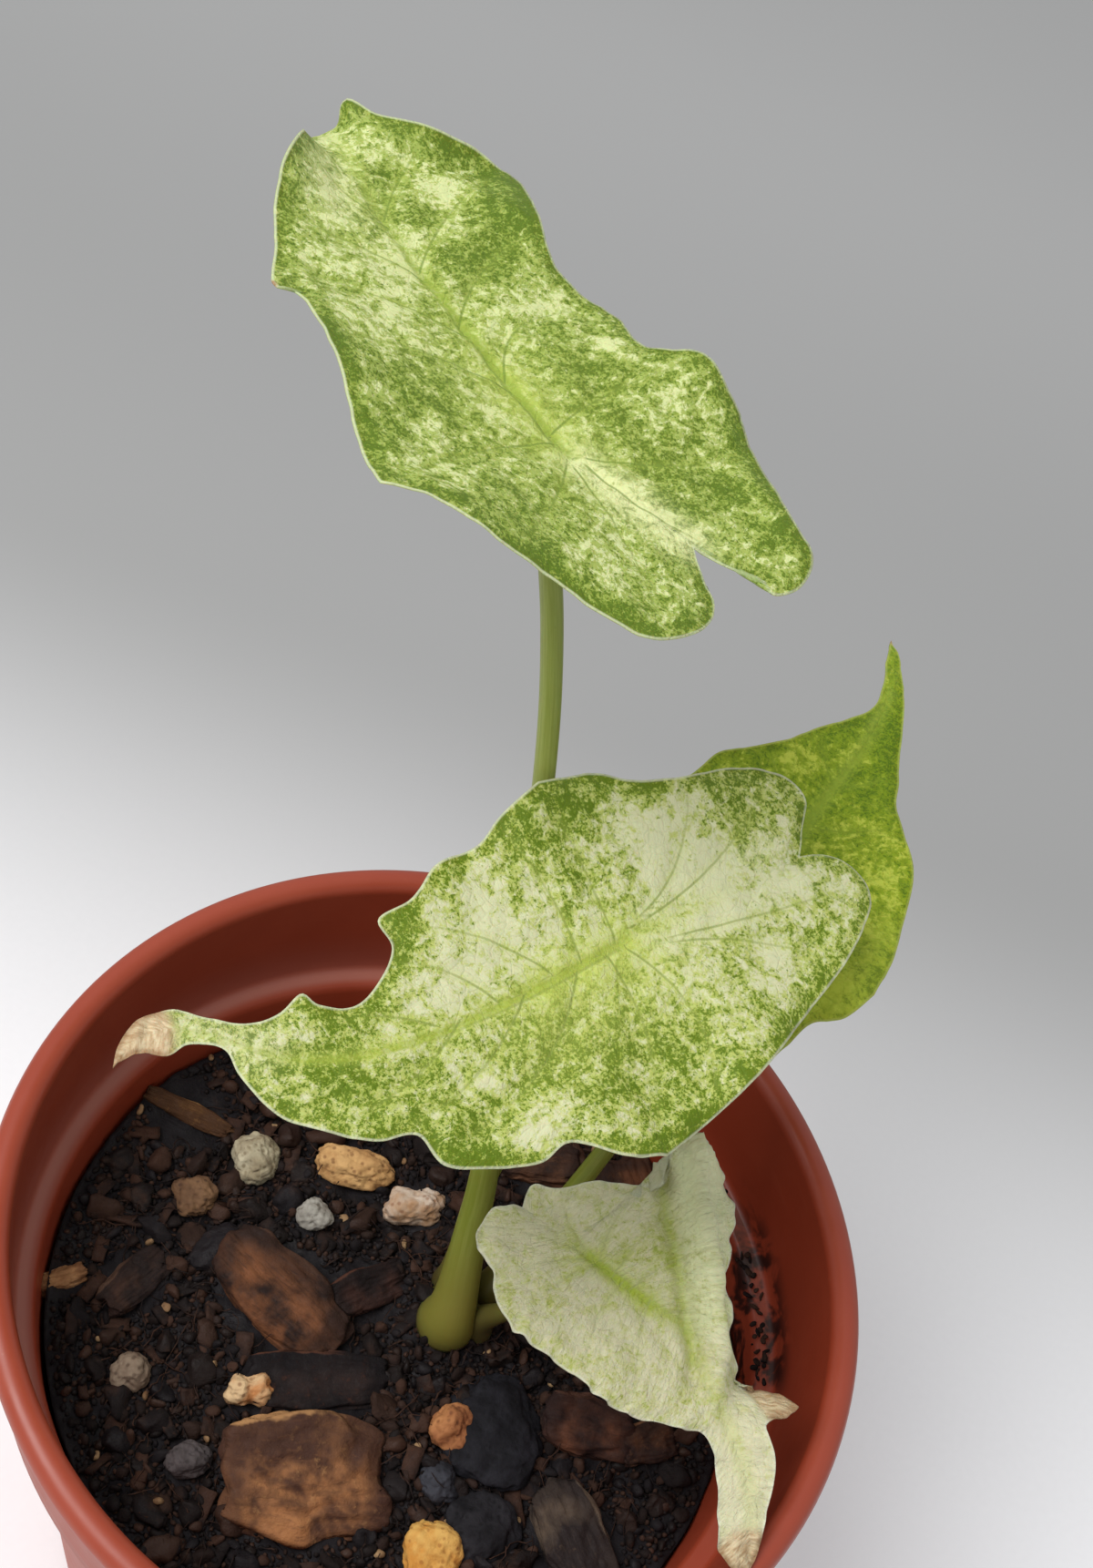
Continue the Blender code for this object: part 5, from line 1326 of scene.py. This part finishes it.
CLODS = {
    "wet_clod": (13.4, -7.6, 10.5, 12.0, 4.6, 20, 0),
    "low_clod": (15.5, -18.5, 7.5, 9.0, 3.6, -10, 0),
    "grey_clod": (9.9, -15.4, 4.4, 4.0, 3.2, 20, 0),
    "side_clod": (-20.6, -1.0, 6.5, 5.0, 3.6, 60, 0),
    "back_clod": (-4.0, 25.0, 10.0, 8.0, 4.2, -30, 0),
}
BARK_SUNK = 0.32
PEBBLE_SUNK = 0.2
CLOD_SUNK = 0.34
WAIST = {"pebble_tan_2": 0.3, "pebble_cream_2": 0.14}
SEED_STEP = 3.7
print("loose pieces:", len(BARK) + len(PEBBLES), "with a solid,", len(SMALL_CHIPS) + len(CLODS), "without")

# %% Loose piece shapes
def fine_lump(size, seed, waist=0.0):
    """A rough grain with pits, on the same broad form as its solid; a waist makes two lobes of it."""
    shape = bmesh.new()
    bmesh.ops.create_icosphere(shape, subdivisions=5, radius=0.5)
    home = shape.verts.layers.float_vector.new("home")
    for vert in shape.verts:
        vert[home] = vert.co
        broad = noise.noise(vert.co * 2.2 + Vector((seed, 0, 0)))
        rough = noise.noise(vert.co * 7 + Vector((0, seed, 0)))
        fine = noise.noise(vert.co * 19 + Vector((0, seed, 0)))
        pit = noise.voronoi(vert.co * 5.5 + Vector((0, 0, seed)))[0][0]
        vert.co *= 1 + 0.3 * broad + 0.1 * rough + 0.035 * fine - 0.09 * math.exp(-(pit / 0.22) ** 2)
        narrow = 1 - waist * math.exp(-(vert.co.x / 0.16) ** 2)
        vert.co = Vector((vert.co.x * size[0], vert.co.y * size[1] * narrow, vert.co.z * size[2] * narrow))
    return shape


def fine_slab(size, seed):
    """A bark chip: a layered plate with ragged, split sides, on the same broad form as its solid."""
    shape = bmesh.new()
    bmesh.ops.create_cube(shape, size=1.0)
    bmesh.ops.subdivide_edges(shape, edges=shape.edges, cuts=27, use_grid_fill=True)
    home = shape.verts.layers.float_vector.new("home")
    for vert in shape.verts:
        vert[home] = vert.co
        along, across, up = vert.co
        narrow = 1 - 0.35 * abs(along) * (1 + 0.5 * noise.noise(Vector((seed, across, along))))
        arch = 0.22 * (0.25 - across * across)
        ragged = 0.16 * noise.noise(vert.co * 3.1 + Vector((seed, seed, 0)))
        layer = math.floor((up + 0.5) * 4.0)
        torn = noise.noise(Vector((along * 4 + seed, across * 4, layer * 3.7)))
        side = max(abs(along), abs(across)) * 2
        bite = 0.1 * torn * side ** 4
        rounding = 1 - 0.1 * (abs(along * 2) ** 6) * (abs(across * 2) ** 6)
        fibres = noise.noise(Vector((along * 5 + seed, across * 38, up * 16)))
        crack = noise.noise(Vector((along * 7, across * 12 + seed, 2.0)))
        vert.co = Vector((
            (along * rounding + ragged * 0.5 + bite * along) * size[0],
            across * rounding * narrow * (1 + ragged + bite) * size[1],
            (up * (1 - 0.25 * side ** 8) + arch + ragged * 0.6 + 0.05 * fibres + 0.1 * crack) * size[2]))
    return shape


def bedded(name, shape, values, sunk):
    """Tilt and turn a loose piece about its own middle, and bed it in the soil."""
    x, y, _, _, height, turn, tilt = values
    rotation = Euler((math.radians(tilt), math.radians(tilt * 0.6), math.radians(turn)), "XYZ").to_matrix()
    middle = Vector((x, y, soil_height(x, y) + height * (0.5 - sunk)))
    for vert in shape.verts:
        vert.co = (rotation @ vert.co + middle) * MM
    mesh = bpy.data.meshes.new(name)
    shape.to_mesh(mesh)
    shape.free()
    mesh.shade_smooth()
    return link_object(name, mesh)


# %% Bark and grit finishes
def bark_finish(name, light, dark, worn):
    """Weathered pine bark: dark layers, browner broken faces, a paler worn rim, and painted shade toward its
    far side.
    """
    between = colour(*[0.6 * a + 0.4 * b for a, b in zip(dark, light)])
    shadow = colour(*[v * 0.7 for v in dark])
    light, dark, worn = (colour(*values) for values in (light, dark, worn))
    bark = Finish(name + "_finish", Specular_IOR_Level=0.2)
    place = bark.place()
    home, along, across, _ = bark.attribute("home")
    broad = bark.noise(place, 130.0, 4.0, 0.6, 0.15)
    fine = bark.noise(place, 900.0, 4.0, 0.7)
    layers = bark.noise(bark.stretch(place, (200, 200, 1800)), 1.0, 3.0, 0.6)
    grain = bark.noise(bark.stretch(home, (7, 26, 4)), 1.0, 4.0, 0.6, 0.1)
    ragged = bark.times(bark.math("SUBTRACT", broad, 0.5), 0.5)
    side = bark.math("ADD", across, ragged)
    base = bark.mix(bark.step(bark.math("ADD", broad, ragged), 0.34, 0.66), dark, light)
    base = bark.mix(bark.step(grain, 0.5, 0.7, 0.0, 0.6), base, between)
    base = bark.mix(bark.step(fine, 0.55, 0.75, 0.0, 0.4), base, worn)
    ends = bark.math("ADD", bark.math("ABSOLUTE", along), ragged)
    base = bark.mix(bark.step(ends, 0.32, 0.46, 0.0, 0.75), base, dark)
    # Painted shade: darker from the chip's middle toward its far side
    base = bark.mix(bark.step(side, 0.0, 0.36, 0.0, 0.7), base, dark)
    rim = bark.times(bark.step(side, 0.42, 0.47), bark.step(along, 0.25, -0.05), 0.8)
    base = bark.mix(rim, base, worn)
    base = bark.mix(bark.step(layers, 0.55, 0.75, 0.0, 0.45), base, shadow)
    bark.drive("Base Color", base)
    bark.drive("Roughness", bark.step(fine, 0.3, 0.7, 0.65, 0.95))
    bark.drive("Normal", bark.bump(fine, 0.25, bark.bump(layers, 0.15)))
    return bark.material


def grit_finish(name, light, dark, stain):
    """Pumice or clay grit: a chalky ground with darker pits and stains, and darker towards its bottom."""
    lower_colour = colour(*[v * 0.6 for v in stain])
    light, dark, stain = (colour(*values) for values in (light, dark, stain))
    grit = Finish(name + "_finish", Specular_IOR_Level=0.25)
    place = grit.place()
    broad = grit.noise(place, 220.0, 4.0, 0.65, 0.4)
    fine = grit.noise(place, 900.0, 3.0, 0.7)
    pits = grit.cells(place, 1100.0)
    base = grit.mix(grit.step(broad, 0.35, 0.65), light, dark)
    base = grit.mix(grit.step(pits, 0.35, 0.12, 0.0, 0.6), base, stain)
    base = grit.mix(grit.step(fine, 0.6, 0.72, 0.0, 0.5), base, stain)
    _, _, _, high = grit.attribute("home")
    # Darker towards the grain's bottom
    sunk = grit.step(grit.math("ADD", high, grit.times(broad, 0.3)), 0.12, -0.16, 0.0, 0.8)
    base = grit.mix(sunk, base, lower_colour)
    grit.drive("Base Color", base)
    grit.drive("Roughness", grit.step(broad, 0.2, 0.8, 0.7, 0.9))
    grit.drive("Normal", grit.bump(pits, 0.12, grit.bump(grit.noise(place, 1300.0, 4.0, 0.7), 0.15)))
    return grit.material


# %% Loose pieces
# Light, dark and worn colours of each chip, and light, dark and stained colours of each grain
BARK_LOOKS = {
    "bark_1": ((170, 116, 74), (72, 47, 37), (190, 142, 94)),
    "bark_2": ((124, 78, 50), (38, 27, 24), (80, 56, 44)),
    "bark_3": ((100, 62, 44), (44, 29, 26), (84, 56, 44)),
    "bark_4": ((88, 74, 62), (40, 32, 31), (108, 92, 76)),
    "bark_5": ((112, 70, 46), (46, 32, 27), (134, 92, 62)),
    "slab_chip": ((44, 33, 31), (20, 16, 18), (96, 60, 44)),
    "split_chip": ((60, 38, 32), (24, 17, 17), (92, 58, 44)),
    "edge_chip": ((84, 58, 46), (38, 28, 26), (92, 68, 54)),
    "right_chip": ((110, 70, 45), (46, 31, 27), (132, 92, 64)),
    "stick_chip": ((132, 92, 52), (76, 50, 32), (156, 116, 72)),
    "tan_chip": ((186, 138, 94), (120, 80, 52), (208, 168, 126)),
    "back_chip": ((104, 70, 50), (44, 31, 27), (130, 94, 68)),
    "flake": ((66, 44, 34), (28, 21, 20), (88, 60, 44)),
}
GRAIN_LOOKS = {
    "pebble_cream_1": ((196, 187, 158), (154, 140, 112), (110, 92, 66)),
    "pebble_cream_2": ((212, 196, 178), (176, 136, 100), (136, 88, 56)),
    "pebble_white": ((172, 168, 158), (132, 126, 116), (96, 86, 74)),
    "pebble_pale": ((150, 132, 112), (112, 92, 76), (80, 62, 50)),
    "pebble_grey": ((92, 84, 84), (62, 55, 54), (42, 37, 36)),
    "pebble_tan_1": ((216, 172, 114), (172, 126, 78), (112, 70, 40)),
    "pebble_tan_2": ((216, 184, 140), (192, 128, 76), (120, 72, 42)),
    "pebble_tan_3": ((188, 128, 80), (146, 90, 56), (100, 58, 36)),
    "pebble_yellow": ((224, 178, 98), (202, 138, 60), (150, 92, 42)),
    "pebble_dim": ((126, 94, 66), (90, 64, 46), (62, 44, 34)),
    "speck": ((170, 138, 100), (118, 86, 58), (84, 58, 42)),
    "wet_clod": ((34, 33, 39), (18, 17, 21), (12, 11, 13)),
    "low_clod": ((36, 34, 38), (19, 17, 20), (12, 11, 13)),
    "grey_clod": ((60, 61, 68), (34, 34, 39), (22, 21, 24)),
}
bark_looks = {name: bark_finish(name, *look) for name, look in BARK_LOOKS.items()}
grain_looks = {name: grit_finish(name, *look) for name, look in GRAIN_LOOKS.items()}


def place_loose(table, ending, first_seed, shape, sunk, looks, slot):
    """Make each loose piece of a table, with its own seed, give it its finish and body, and hide its solid if
    it has one.
    """
    for number, (name, values) in enumerate(table.items()):
        seed = SEED_STEP * number + first_seed
        waist = {"waist": WAIST[name]} if name in WAIST else {}
        made = bedded(name + ending, shape(values[2:5], seed, **waist), values, sunk)
        solids = [name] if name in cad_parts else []
        own_slot = "grit_pale" if name in GRIT_PALE else slot
        hand_in(made, looks.get(name, earth_material), own_slot, *solids)


place_loose(BARK, "_chip", 4, fine_slab, BARK_SUNK, bark_looks, "bark")
place_loose(PEBBLES, "_grain", 6, fine_lump, PEBBLE_SUNK, grain_looks, "grit_tan")
place_loose(SMALL_CHIPS, "", 31, fine_slab, BARK_SUNK, bark_looks, "bark")
place_loose(CLODS, "", 51, fine_lump, CLOD_SUNK, grain_looks, "soil")

# %% [markdown]
# ## Crumbs, flakes, grit and fibres
# Thousands of small bits are what Geometry Nodes are for: points are scattered over the soil, each
# gets one small shape turned and sized at random, and the shapes are realized and roughened by a
# noise that reads their place, so that no two are alike. The seed is fixed, so they never change.

# %% Scatter tree
def bit_shape(tree, kind, given):
    """One small shape to repeat, about 1 m across before it is sized: a crumb, flake or fibre."""
    if kind == "crumb":
        return geometry(tree, "MeshIcoSphere", {"Radius": 0.5, "Subdivisions": given["Detail"]})
    if kind == "flake":
        return geometry(tree, "MeshCube", {
            "Size": (1, 1, 1), "Vertices X": 5, "Vertices Y": 4, "Vertices Z": 2})
    line = geometry(tree, "CurvePrimitiveLine", {"Start": (-0.5, 0, 0), "End": (0.5, 0, 0)})
    line = geometry(tree, "ResampleCurve", {"Curve": line, "Count": 9})
    section = geometry(tree, "CurvePrimitiveCircle", {"Resolution": 3, "Radius": 0.5})
    return geometry(tree, "CurveToMesh", {"Curve": line, "Profile Curve": section, "Fill Caps": True})


def scatter_tree(name, kind):
    """Scatters bits of one kind over the piece's own surface, keeping to its room."""
    tree, given = new_tree(name, [
        ("Density", "Float", 1e5), ("Gap", "Float", MM), ("Smallest", "Vector", (MM, MM, MM)),
        ("Largest", "Vector", (2 * MM, 2 * MM, 2 * MM)), ("Tilt", "Float", math.pi), ("Lift", "Float", 0.0),
        ("Roughness", "Float", 0.5 * MM), ("Rough scale", "Float", 900.0), ("Detail", "Int", 2),
        ("Seed", "Int", 1), ("Stuff", "Material", None)])
    seed, tilt = given["Seed"], given["Tilt"]

    def chance(low, high, kind, first, output):
        """A random value for each bit; first is the socket of the low end."""
        inputs = {first: low, first + 1: high, 8: seed}
        return put(tree, "FunctionNodeRandomValue", inputs, data_type=kind).outputs[output]

    room = geometry(tree, "InputNamedAttribute", {"Name": "room"}, data_type="FLOAT")
    spots = geometry(tree, "DistributePointsOnFaces", {
        "Mesh": given["Geometry"], "Distance Min": given["Gap"], "Density Max": given["Density"],
        "Density Factor": room, "Seed": seed}, distribute_method="POISSON")
    lift = put(tree, "ShaderNodeCombineXYZ", {2: given["Lift"]}).outputs[0]
    raised = geometry(tree, "SetPosition", {"Geometry": spots, "Offset": lift})
    size = chance(given["Smallest"], given["Largest"], "FLOAT_VECTOR", 0, 0)
    back = put(tree, "ShaderNodeMath", {0: tilt, 1: -1.0}, operation="MULTIPLY").outputs[0]
    least = put(tree, "ShaderNodeCombineXYZ", {0: back, 1: back, 2: 0.0}).outputs[0]
    most = put(tree, "ShaderNodeCombineXYZ", {0: tilt, 1: tilt, 2: 2 * math.pi}).outputs[0]
    copies = geometry(tree, "InstanceOnPoints", {
        "Points": raised, "Instance": bit_shape(tree, kind, given),
        "Rotation": chance(least, most, "FLOAT_VECTOR", 0, 0), "Scale": size})
    toned = geometry(tree, "StoreNamedAttribute", {
        "Geometry": copies, "Name": "tone", "Value": chance(0.0, 1.0, "FLOAT", 2, 1)},
        domain="INSTANCE", data_type="FLOAT")
    real = geometry(tree, "RealizeInstances", {0: toned})
    spot = geometry(tree, "InputPosition")
    inputs = {"Vector": spot, "Scale": given["Rough scale"], "Detail": 2.0}
    wobble = put(tree, "ShaderNodeTexNoise", inputs).outputs["Color"]
    inputs = {0: wobble, 1: (0.5, 0.5, 0.5)}
    middle = put(tree, "ShaderNodeVectorMath", inputs, operation="SUBTRACT").outputs[0]
    inputs = {0: middle, 3: given["Roughness"]}
    push = put(tree, "ShaderNodeVectorMath", inputs, operation="SCALE").outputs[0]
    rough = geometry(tree, "SetPosition", {"Geometry": real, "Offset": push})
    smooth = geometry(tree, "SetShadeSmooth", {"Geometry": rough})
    named = geometry(tree, "SetMaterial", {"Geometry": smooth, "Material": given["Stuff"]})
    put(tree, "NodeGroupOutput", {0: named})
    return tree


def scatter(piece, kind, gap, small, large, tilt, lift, rough, detail, seed, stuff, slot, more=None):
    """Scatter one kind of bit over a piece, which becomes the bits alone, and give it its finish and body."""
    values = {"Density": 1e7, "Gap": gap * MM, "Smallest": [v * MM for v in small],
              "Largest": [v * MM for v in large], "Tilt": tilt, "Lift": lift * MM, "Roughness": rough * MM,
              "Rough scale": 420.0 if rough > 1 else 900.0, "Detail": detail, "Seed": seed, "Stuff": stuff}
    run_tree(piece, scatter_tree(piece.name + "_tree", kind), {**values, **(more or {})})
    hand_in(piece, stuff, slot)


# %% Room for the bits
# A loose piece keeps the bits away from its middle to this share of its longer side
LOOSE_SHARE = 0.42


def leave_room(mesh, room):
    """Store at each point how much room the bits have there, from 0 to 1."""
    made = mesh.attributes.new("room", "FLOAT", "POINT")
    made.data.foreach_set("value", np.asarray(room, np.float32))


def room_mesh(name, clear, reach):
    """The soil's top alone, with the room that the crown and the loose pieces leave at each point.
    A bit that reaches far from its middle keeps that much off the wall."""
    top = bpy.data.meshes.new(name)
    count = 1 + SOIL_RINGS * SOIL_SEGMENTS
    vertices = [soil_piece.data.vertices[k].co[:] for k in range(count)]
    faces = [face.vertices[:] for face in soil_piece.data.polygons if max(face.vertices) < count]
    top.from_pydata(vertices, [], faces)
    taken = [(*CROWN, CROWN_CLEAR)]
    loose = [*BARK.values(), *PEBBLES.values(), *SMALL_CHIPS.values()]
    taken += [(x, y, LOOSE_SHARE * max(length, width) + clear) for x, y, length, width, *_ in loose]
    flat = np.array(vertices)[:, :2] / MM
    room = np.ones(count)
    for x, y, radius in taken:
        room *= np.hypot(flat[:, 0] - x, flat[:, 1] - y) > radius
    edge = wall_radius(SOIL_LEVEL) - CLEARANCE - max(clear, reach)
    room *= np.hypot(flat[:, 0], flat[:, 1]) < edge
    leave_room(top, room)
    return link_object(name, top)


# %% Scattered bits
# Each kind: its shape, how far it keeps clear, its gap, smallest and largest size, tilt, lift,
# roughness, detail and seed, in millimetres and radians
BITS = {
    "soil_crumbs_fine": ("crumb", 0.1, 0.56, (0.45, 0.4, 0.35), (1.1, 0.9, 0.75), 3.14, 0.1, 0.5, 1, 3),
    "soil_crumbs_coarse": ("crumb", 0.5, 1.6, (0.9, 0.8, 0.7), (2.3, 1.8, 1.4), 3.14, 0.25, 1.5, 2, 5),
    "soil_clods": ("crumb", 1.0, 4.0, (2.2, 1.8, 1.4), (4.8, 3.6, 2.6), 0.8, 0.3, 2.6, 3, 8),
    "bark_flakes": ("flake", 0.8, 4.2, (1.6, 0.8, 0.25), (4.0, 2.0, 0.6), 0.5, 0.5, 0.8, 2, 11),
    "grit_specks": ("crumb", 0.4, 7.5, (0.5, 0.5, 0.5), (1.5, 1.2, 1.0), 3.14, 0.5, 0.5, 2, 14),
    "peat_fibres": ("fibre", 0.2, 2.1, (3.0, 0.08, 0.08), (8.0, 0.18, 0.18), 0.3, 0.8, 3.2, 2, 17),
}
FLAKE = (bark_looks["flake"], "bark")
SPECK = (grain_looks["speck"], "grit_tan")
BIT_STUFF = {"bark_flakes": FLAKE, "peat_fibres": FLAKE, "grit_specks": SPECK}
for name, (kind, clear, *values) in BITS.items():
    bits = room_mesh(name, clear, max(values[2]) / 2)
    scatter(bits, kind, *values, *BIT_STUFF.get(name, (earth_material, "soil")))

# %% [markdown]
# ## Dirt on the ledge
# Watering leaves a few crumbs on the pot's inner ledge, mostly on one side. The same tree scatters
# them over a narrow arc of surface just above the ledge, in loose groups.

# %% Ledge crumbs
LEDGE_ARC = (5, 48)
LEDGE_STATIONS = 90
LEDGE_GROUPS = (13, 19, 25, 31, 41)
GROUP_SPREAD = 2.0
LEDGE_HEIGHT = POT_HEIGHT - RIM_BAND_DEPTH + 0.2
LEDGE_SPAN = (LEDGE_RADIUS - 0.4, LEDGE_RADIUS + LEDGE_WIDTH - 0.9)


def ledge_mesh():
    """A narrow arc over the ledge, with the most room where the crumbs lie in groups."""
    angles = np.linspace(*LEDGE_ARC, LEDGE_STATIONS)
    ring = [(r * math.cos(math.radians(a)), r * math.sin(math.radians(a)), LEDGE_HEIGHT)
            for a in angles for r in LEDGE_SPAN]
    faces = [(2 * k, 2 * k + 1, 2 * k + 3, 2 * k + 2) for k in range(len(angles) - 1)]
    piece = add_mesh("ledge_crumbs", ring, faces)
    room = sum(np.exp(-((angles - group) / GROUP_SPREAD) ** 2) for group in LEDGE_GROUPS)
    leave_room(piece.data, np.repeat(room, 2))
    return piece


scatter(ledge_mesh(), "crumb", 0.5, (0.25, 0.25, 0.2), (1.3, 0.9, 0.6), 0.6, 0.1, 0.9, 2, 21,
        earth_material, "soil", {"Density": 3e6, "Rough scale": 700.0})

# %% [markdown]
# ## Rootstock
# The leaves come from a short swollen stem that sits on a corm. Only its pale top shows, but the corm
# and roots below it are part of the plant. The crown is a turned form made uneven, and each root is
# a thin tube that hangs from the corm. Their points and faces are added up into one mesh.

# %% Rootstock
CROWN_RADIUS = 4.3
CORM_BOTTOM = 37.0
ROOT_COUNT = 6
ROOT_RADIUS = 0.6
ROOT_LENGTH = 24.0
ROOT_REACH = (1.5, 1.6)
ROOT_SWAY = 0.25
ROOT_DROP = 1.3
ROOT_STATIONS = 24
ROOT_SIDES = 10
STOCK_SEGMENTS = 72
STAIN_HEIGHTS = (60.5, 57.5)


def crown_form():
    """Points and faces of the crown and corm, turned, with bumps and leaf scars round it."""
    profile = smooth_curve([
        (0, CORM_BOTTOM), (2.8, CORM_BOTTOM + 1.2), (4.1, 42.0), (4.3, 47.0), (3.6, 52.0),
        (CROWN_RADIUS - 0.5, 56.0), (CROWN_RADIUS - 0.1, CROWN_TOP - 2.0),
        (CROWN_RADIUS - 1.0, CROWN_TOP - 0.4), (1.8, CROWN_TOP + 0.8), (0, CROWN_TOP + 1.2)],
        np.linspace(0, 1, 60))
    points = []
    for radius, z in profile[1:-1]:
        for a in np.linspace(0, 2 * math.pi, STOCK_SEGMENTS, endpoint=False):
            way = Vector((math.cos(a), math.sin(a), z * 0.25))
            reach = radius * (1 + 0.07 * noise.noise(way * 1.4) + 0.02 * math.sin(z * 3.2))
            points.append((CROWN[0] + reach * way.x, CROWN[1] + reach * way.y, z))
    points += [(*CROWN, CORM_BOTTOM), (*CROWN, CROWN_TOP + 1.2)]
    return np.array(points), stack_faces(len(profile) - 2, STOCK_SEGMENTS)


def root_path(angle, index):
    """A root from inside the corm down its hole, with a slight wave."""
    t = np.linspace(0, 1, ROOT_STATIONS)
    start, spread = ROOT_REACH
    reach = start + spread * np.minimum(1.0, 3 * t)
    sway = angle + ROOT_SWAY * np.sin(3.0 * t + index)
    length = ROOT_LENGTH + index % 3 * ROOT_DROP
    return np.stack([CROWN[0] + reach * np.cos(sway), CROWN[1] + reach * np.sin(sway),
                     CORM_BOTTOM + 5.0 - length * t], 1)


stock = Finish("rootstock_finish", Roughness=0.45, Subsurface_Weight=0.1, Subsurface_Scale=0.002)
stock_place = stock.place()
stock_height = put(stock.tree, "ShaderNodeSeparateXYZ", {0: stock_place}).outputs[2]
streaks = stock.noise(stock.stretch(stock_place, (900, 900, 120)), 1.0, 3.0)
pale_green = stock.mix(streaks, colour(112, 107, 46), colour(128, 123, 58))
buried = stock.step(stock_height, *[v * MM for v in STAIN_HEIGHTS])
stock.drive("Base Color", stock.mix(buried, pale_green, colour(84, 66, 42)))
stock.drive("Normal", stock.bump(streaks, 0.12))
stock_points, stock_faces = crown_form()
for k in range(ROOT_COUNT):
    thickness = np.linspace(ROOT_RADIUS * 1.3, ROOT_RADIUS, ROOT_STATIONS)
    points, faces = tube(root_path(2 * math.pi * k / ROOT_COUNT, k), thickness, ROOT_SIDES)
    stock_faces += [[v + len(stock_points) for v in face] for face in faces]
    stock_points = np.vstack([stock_points, points])
hand_in(add_mesh("crown", stock_points, stock_faces), stock.material, "rootstock", "rootstock")
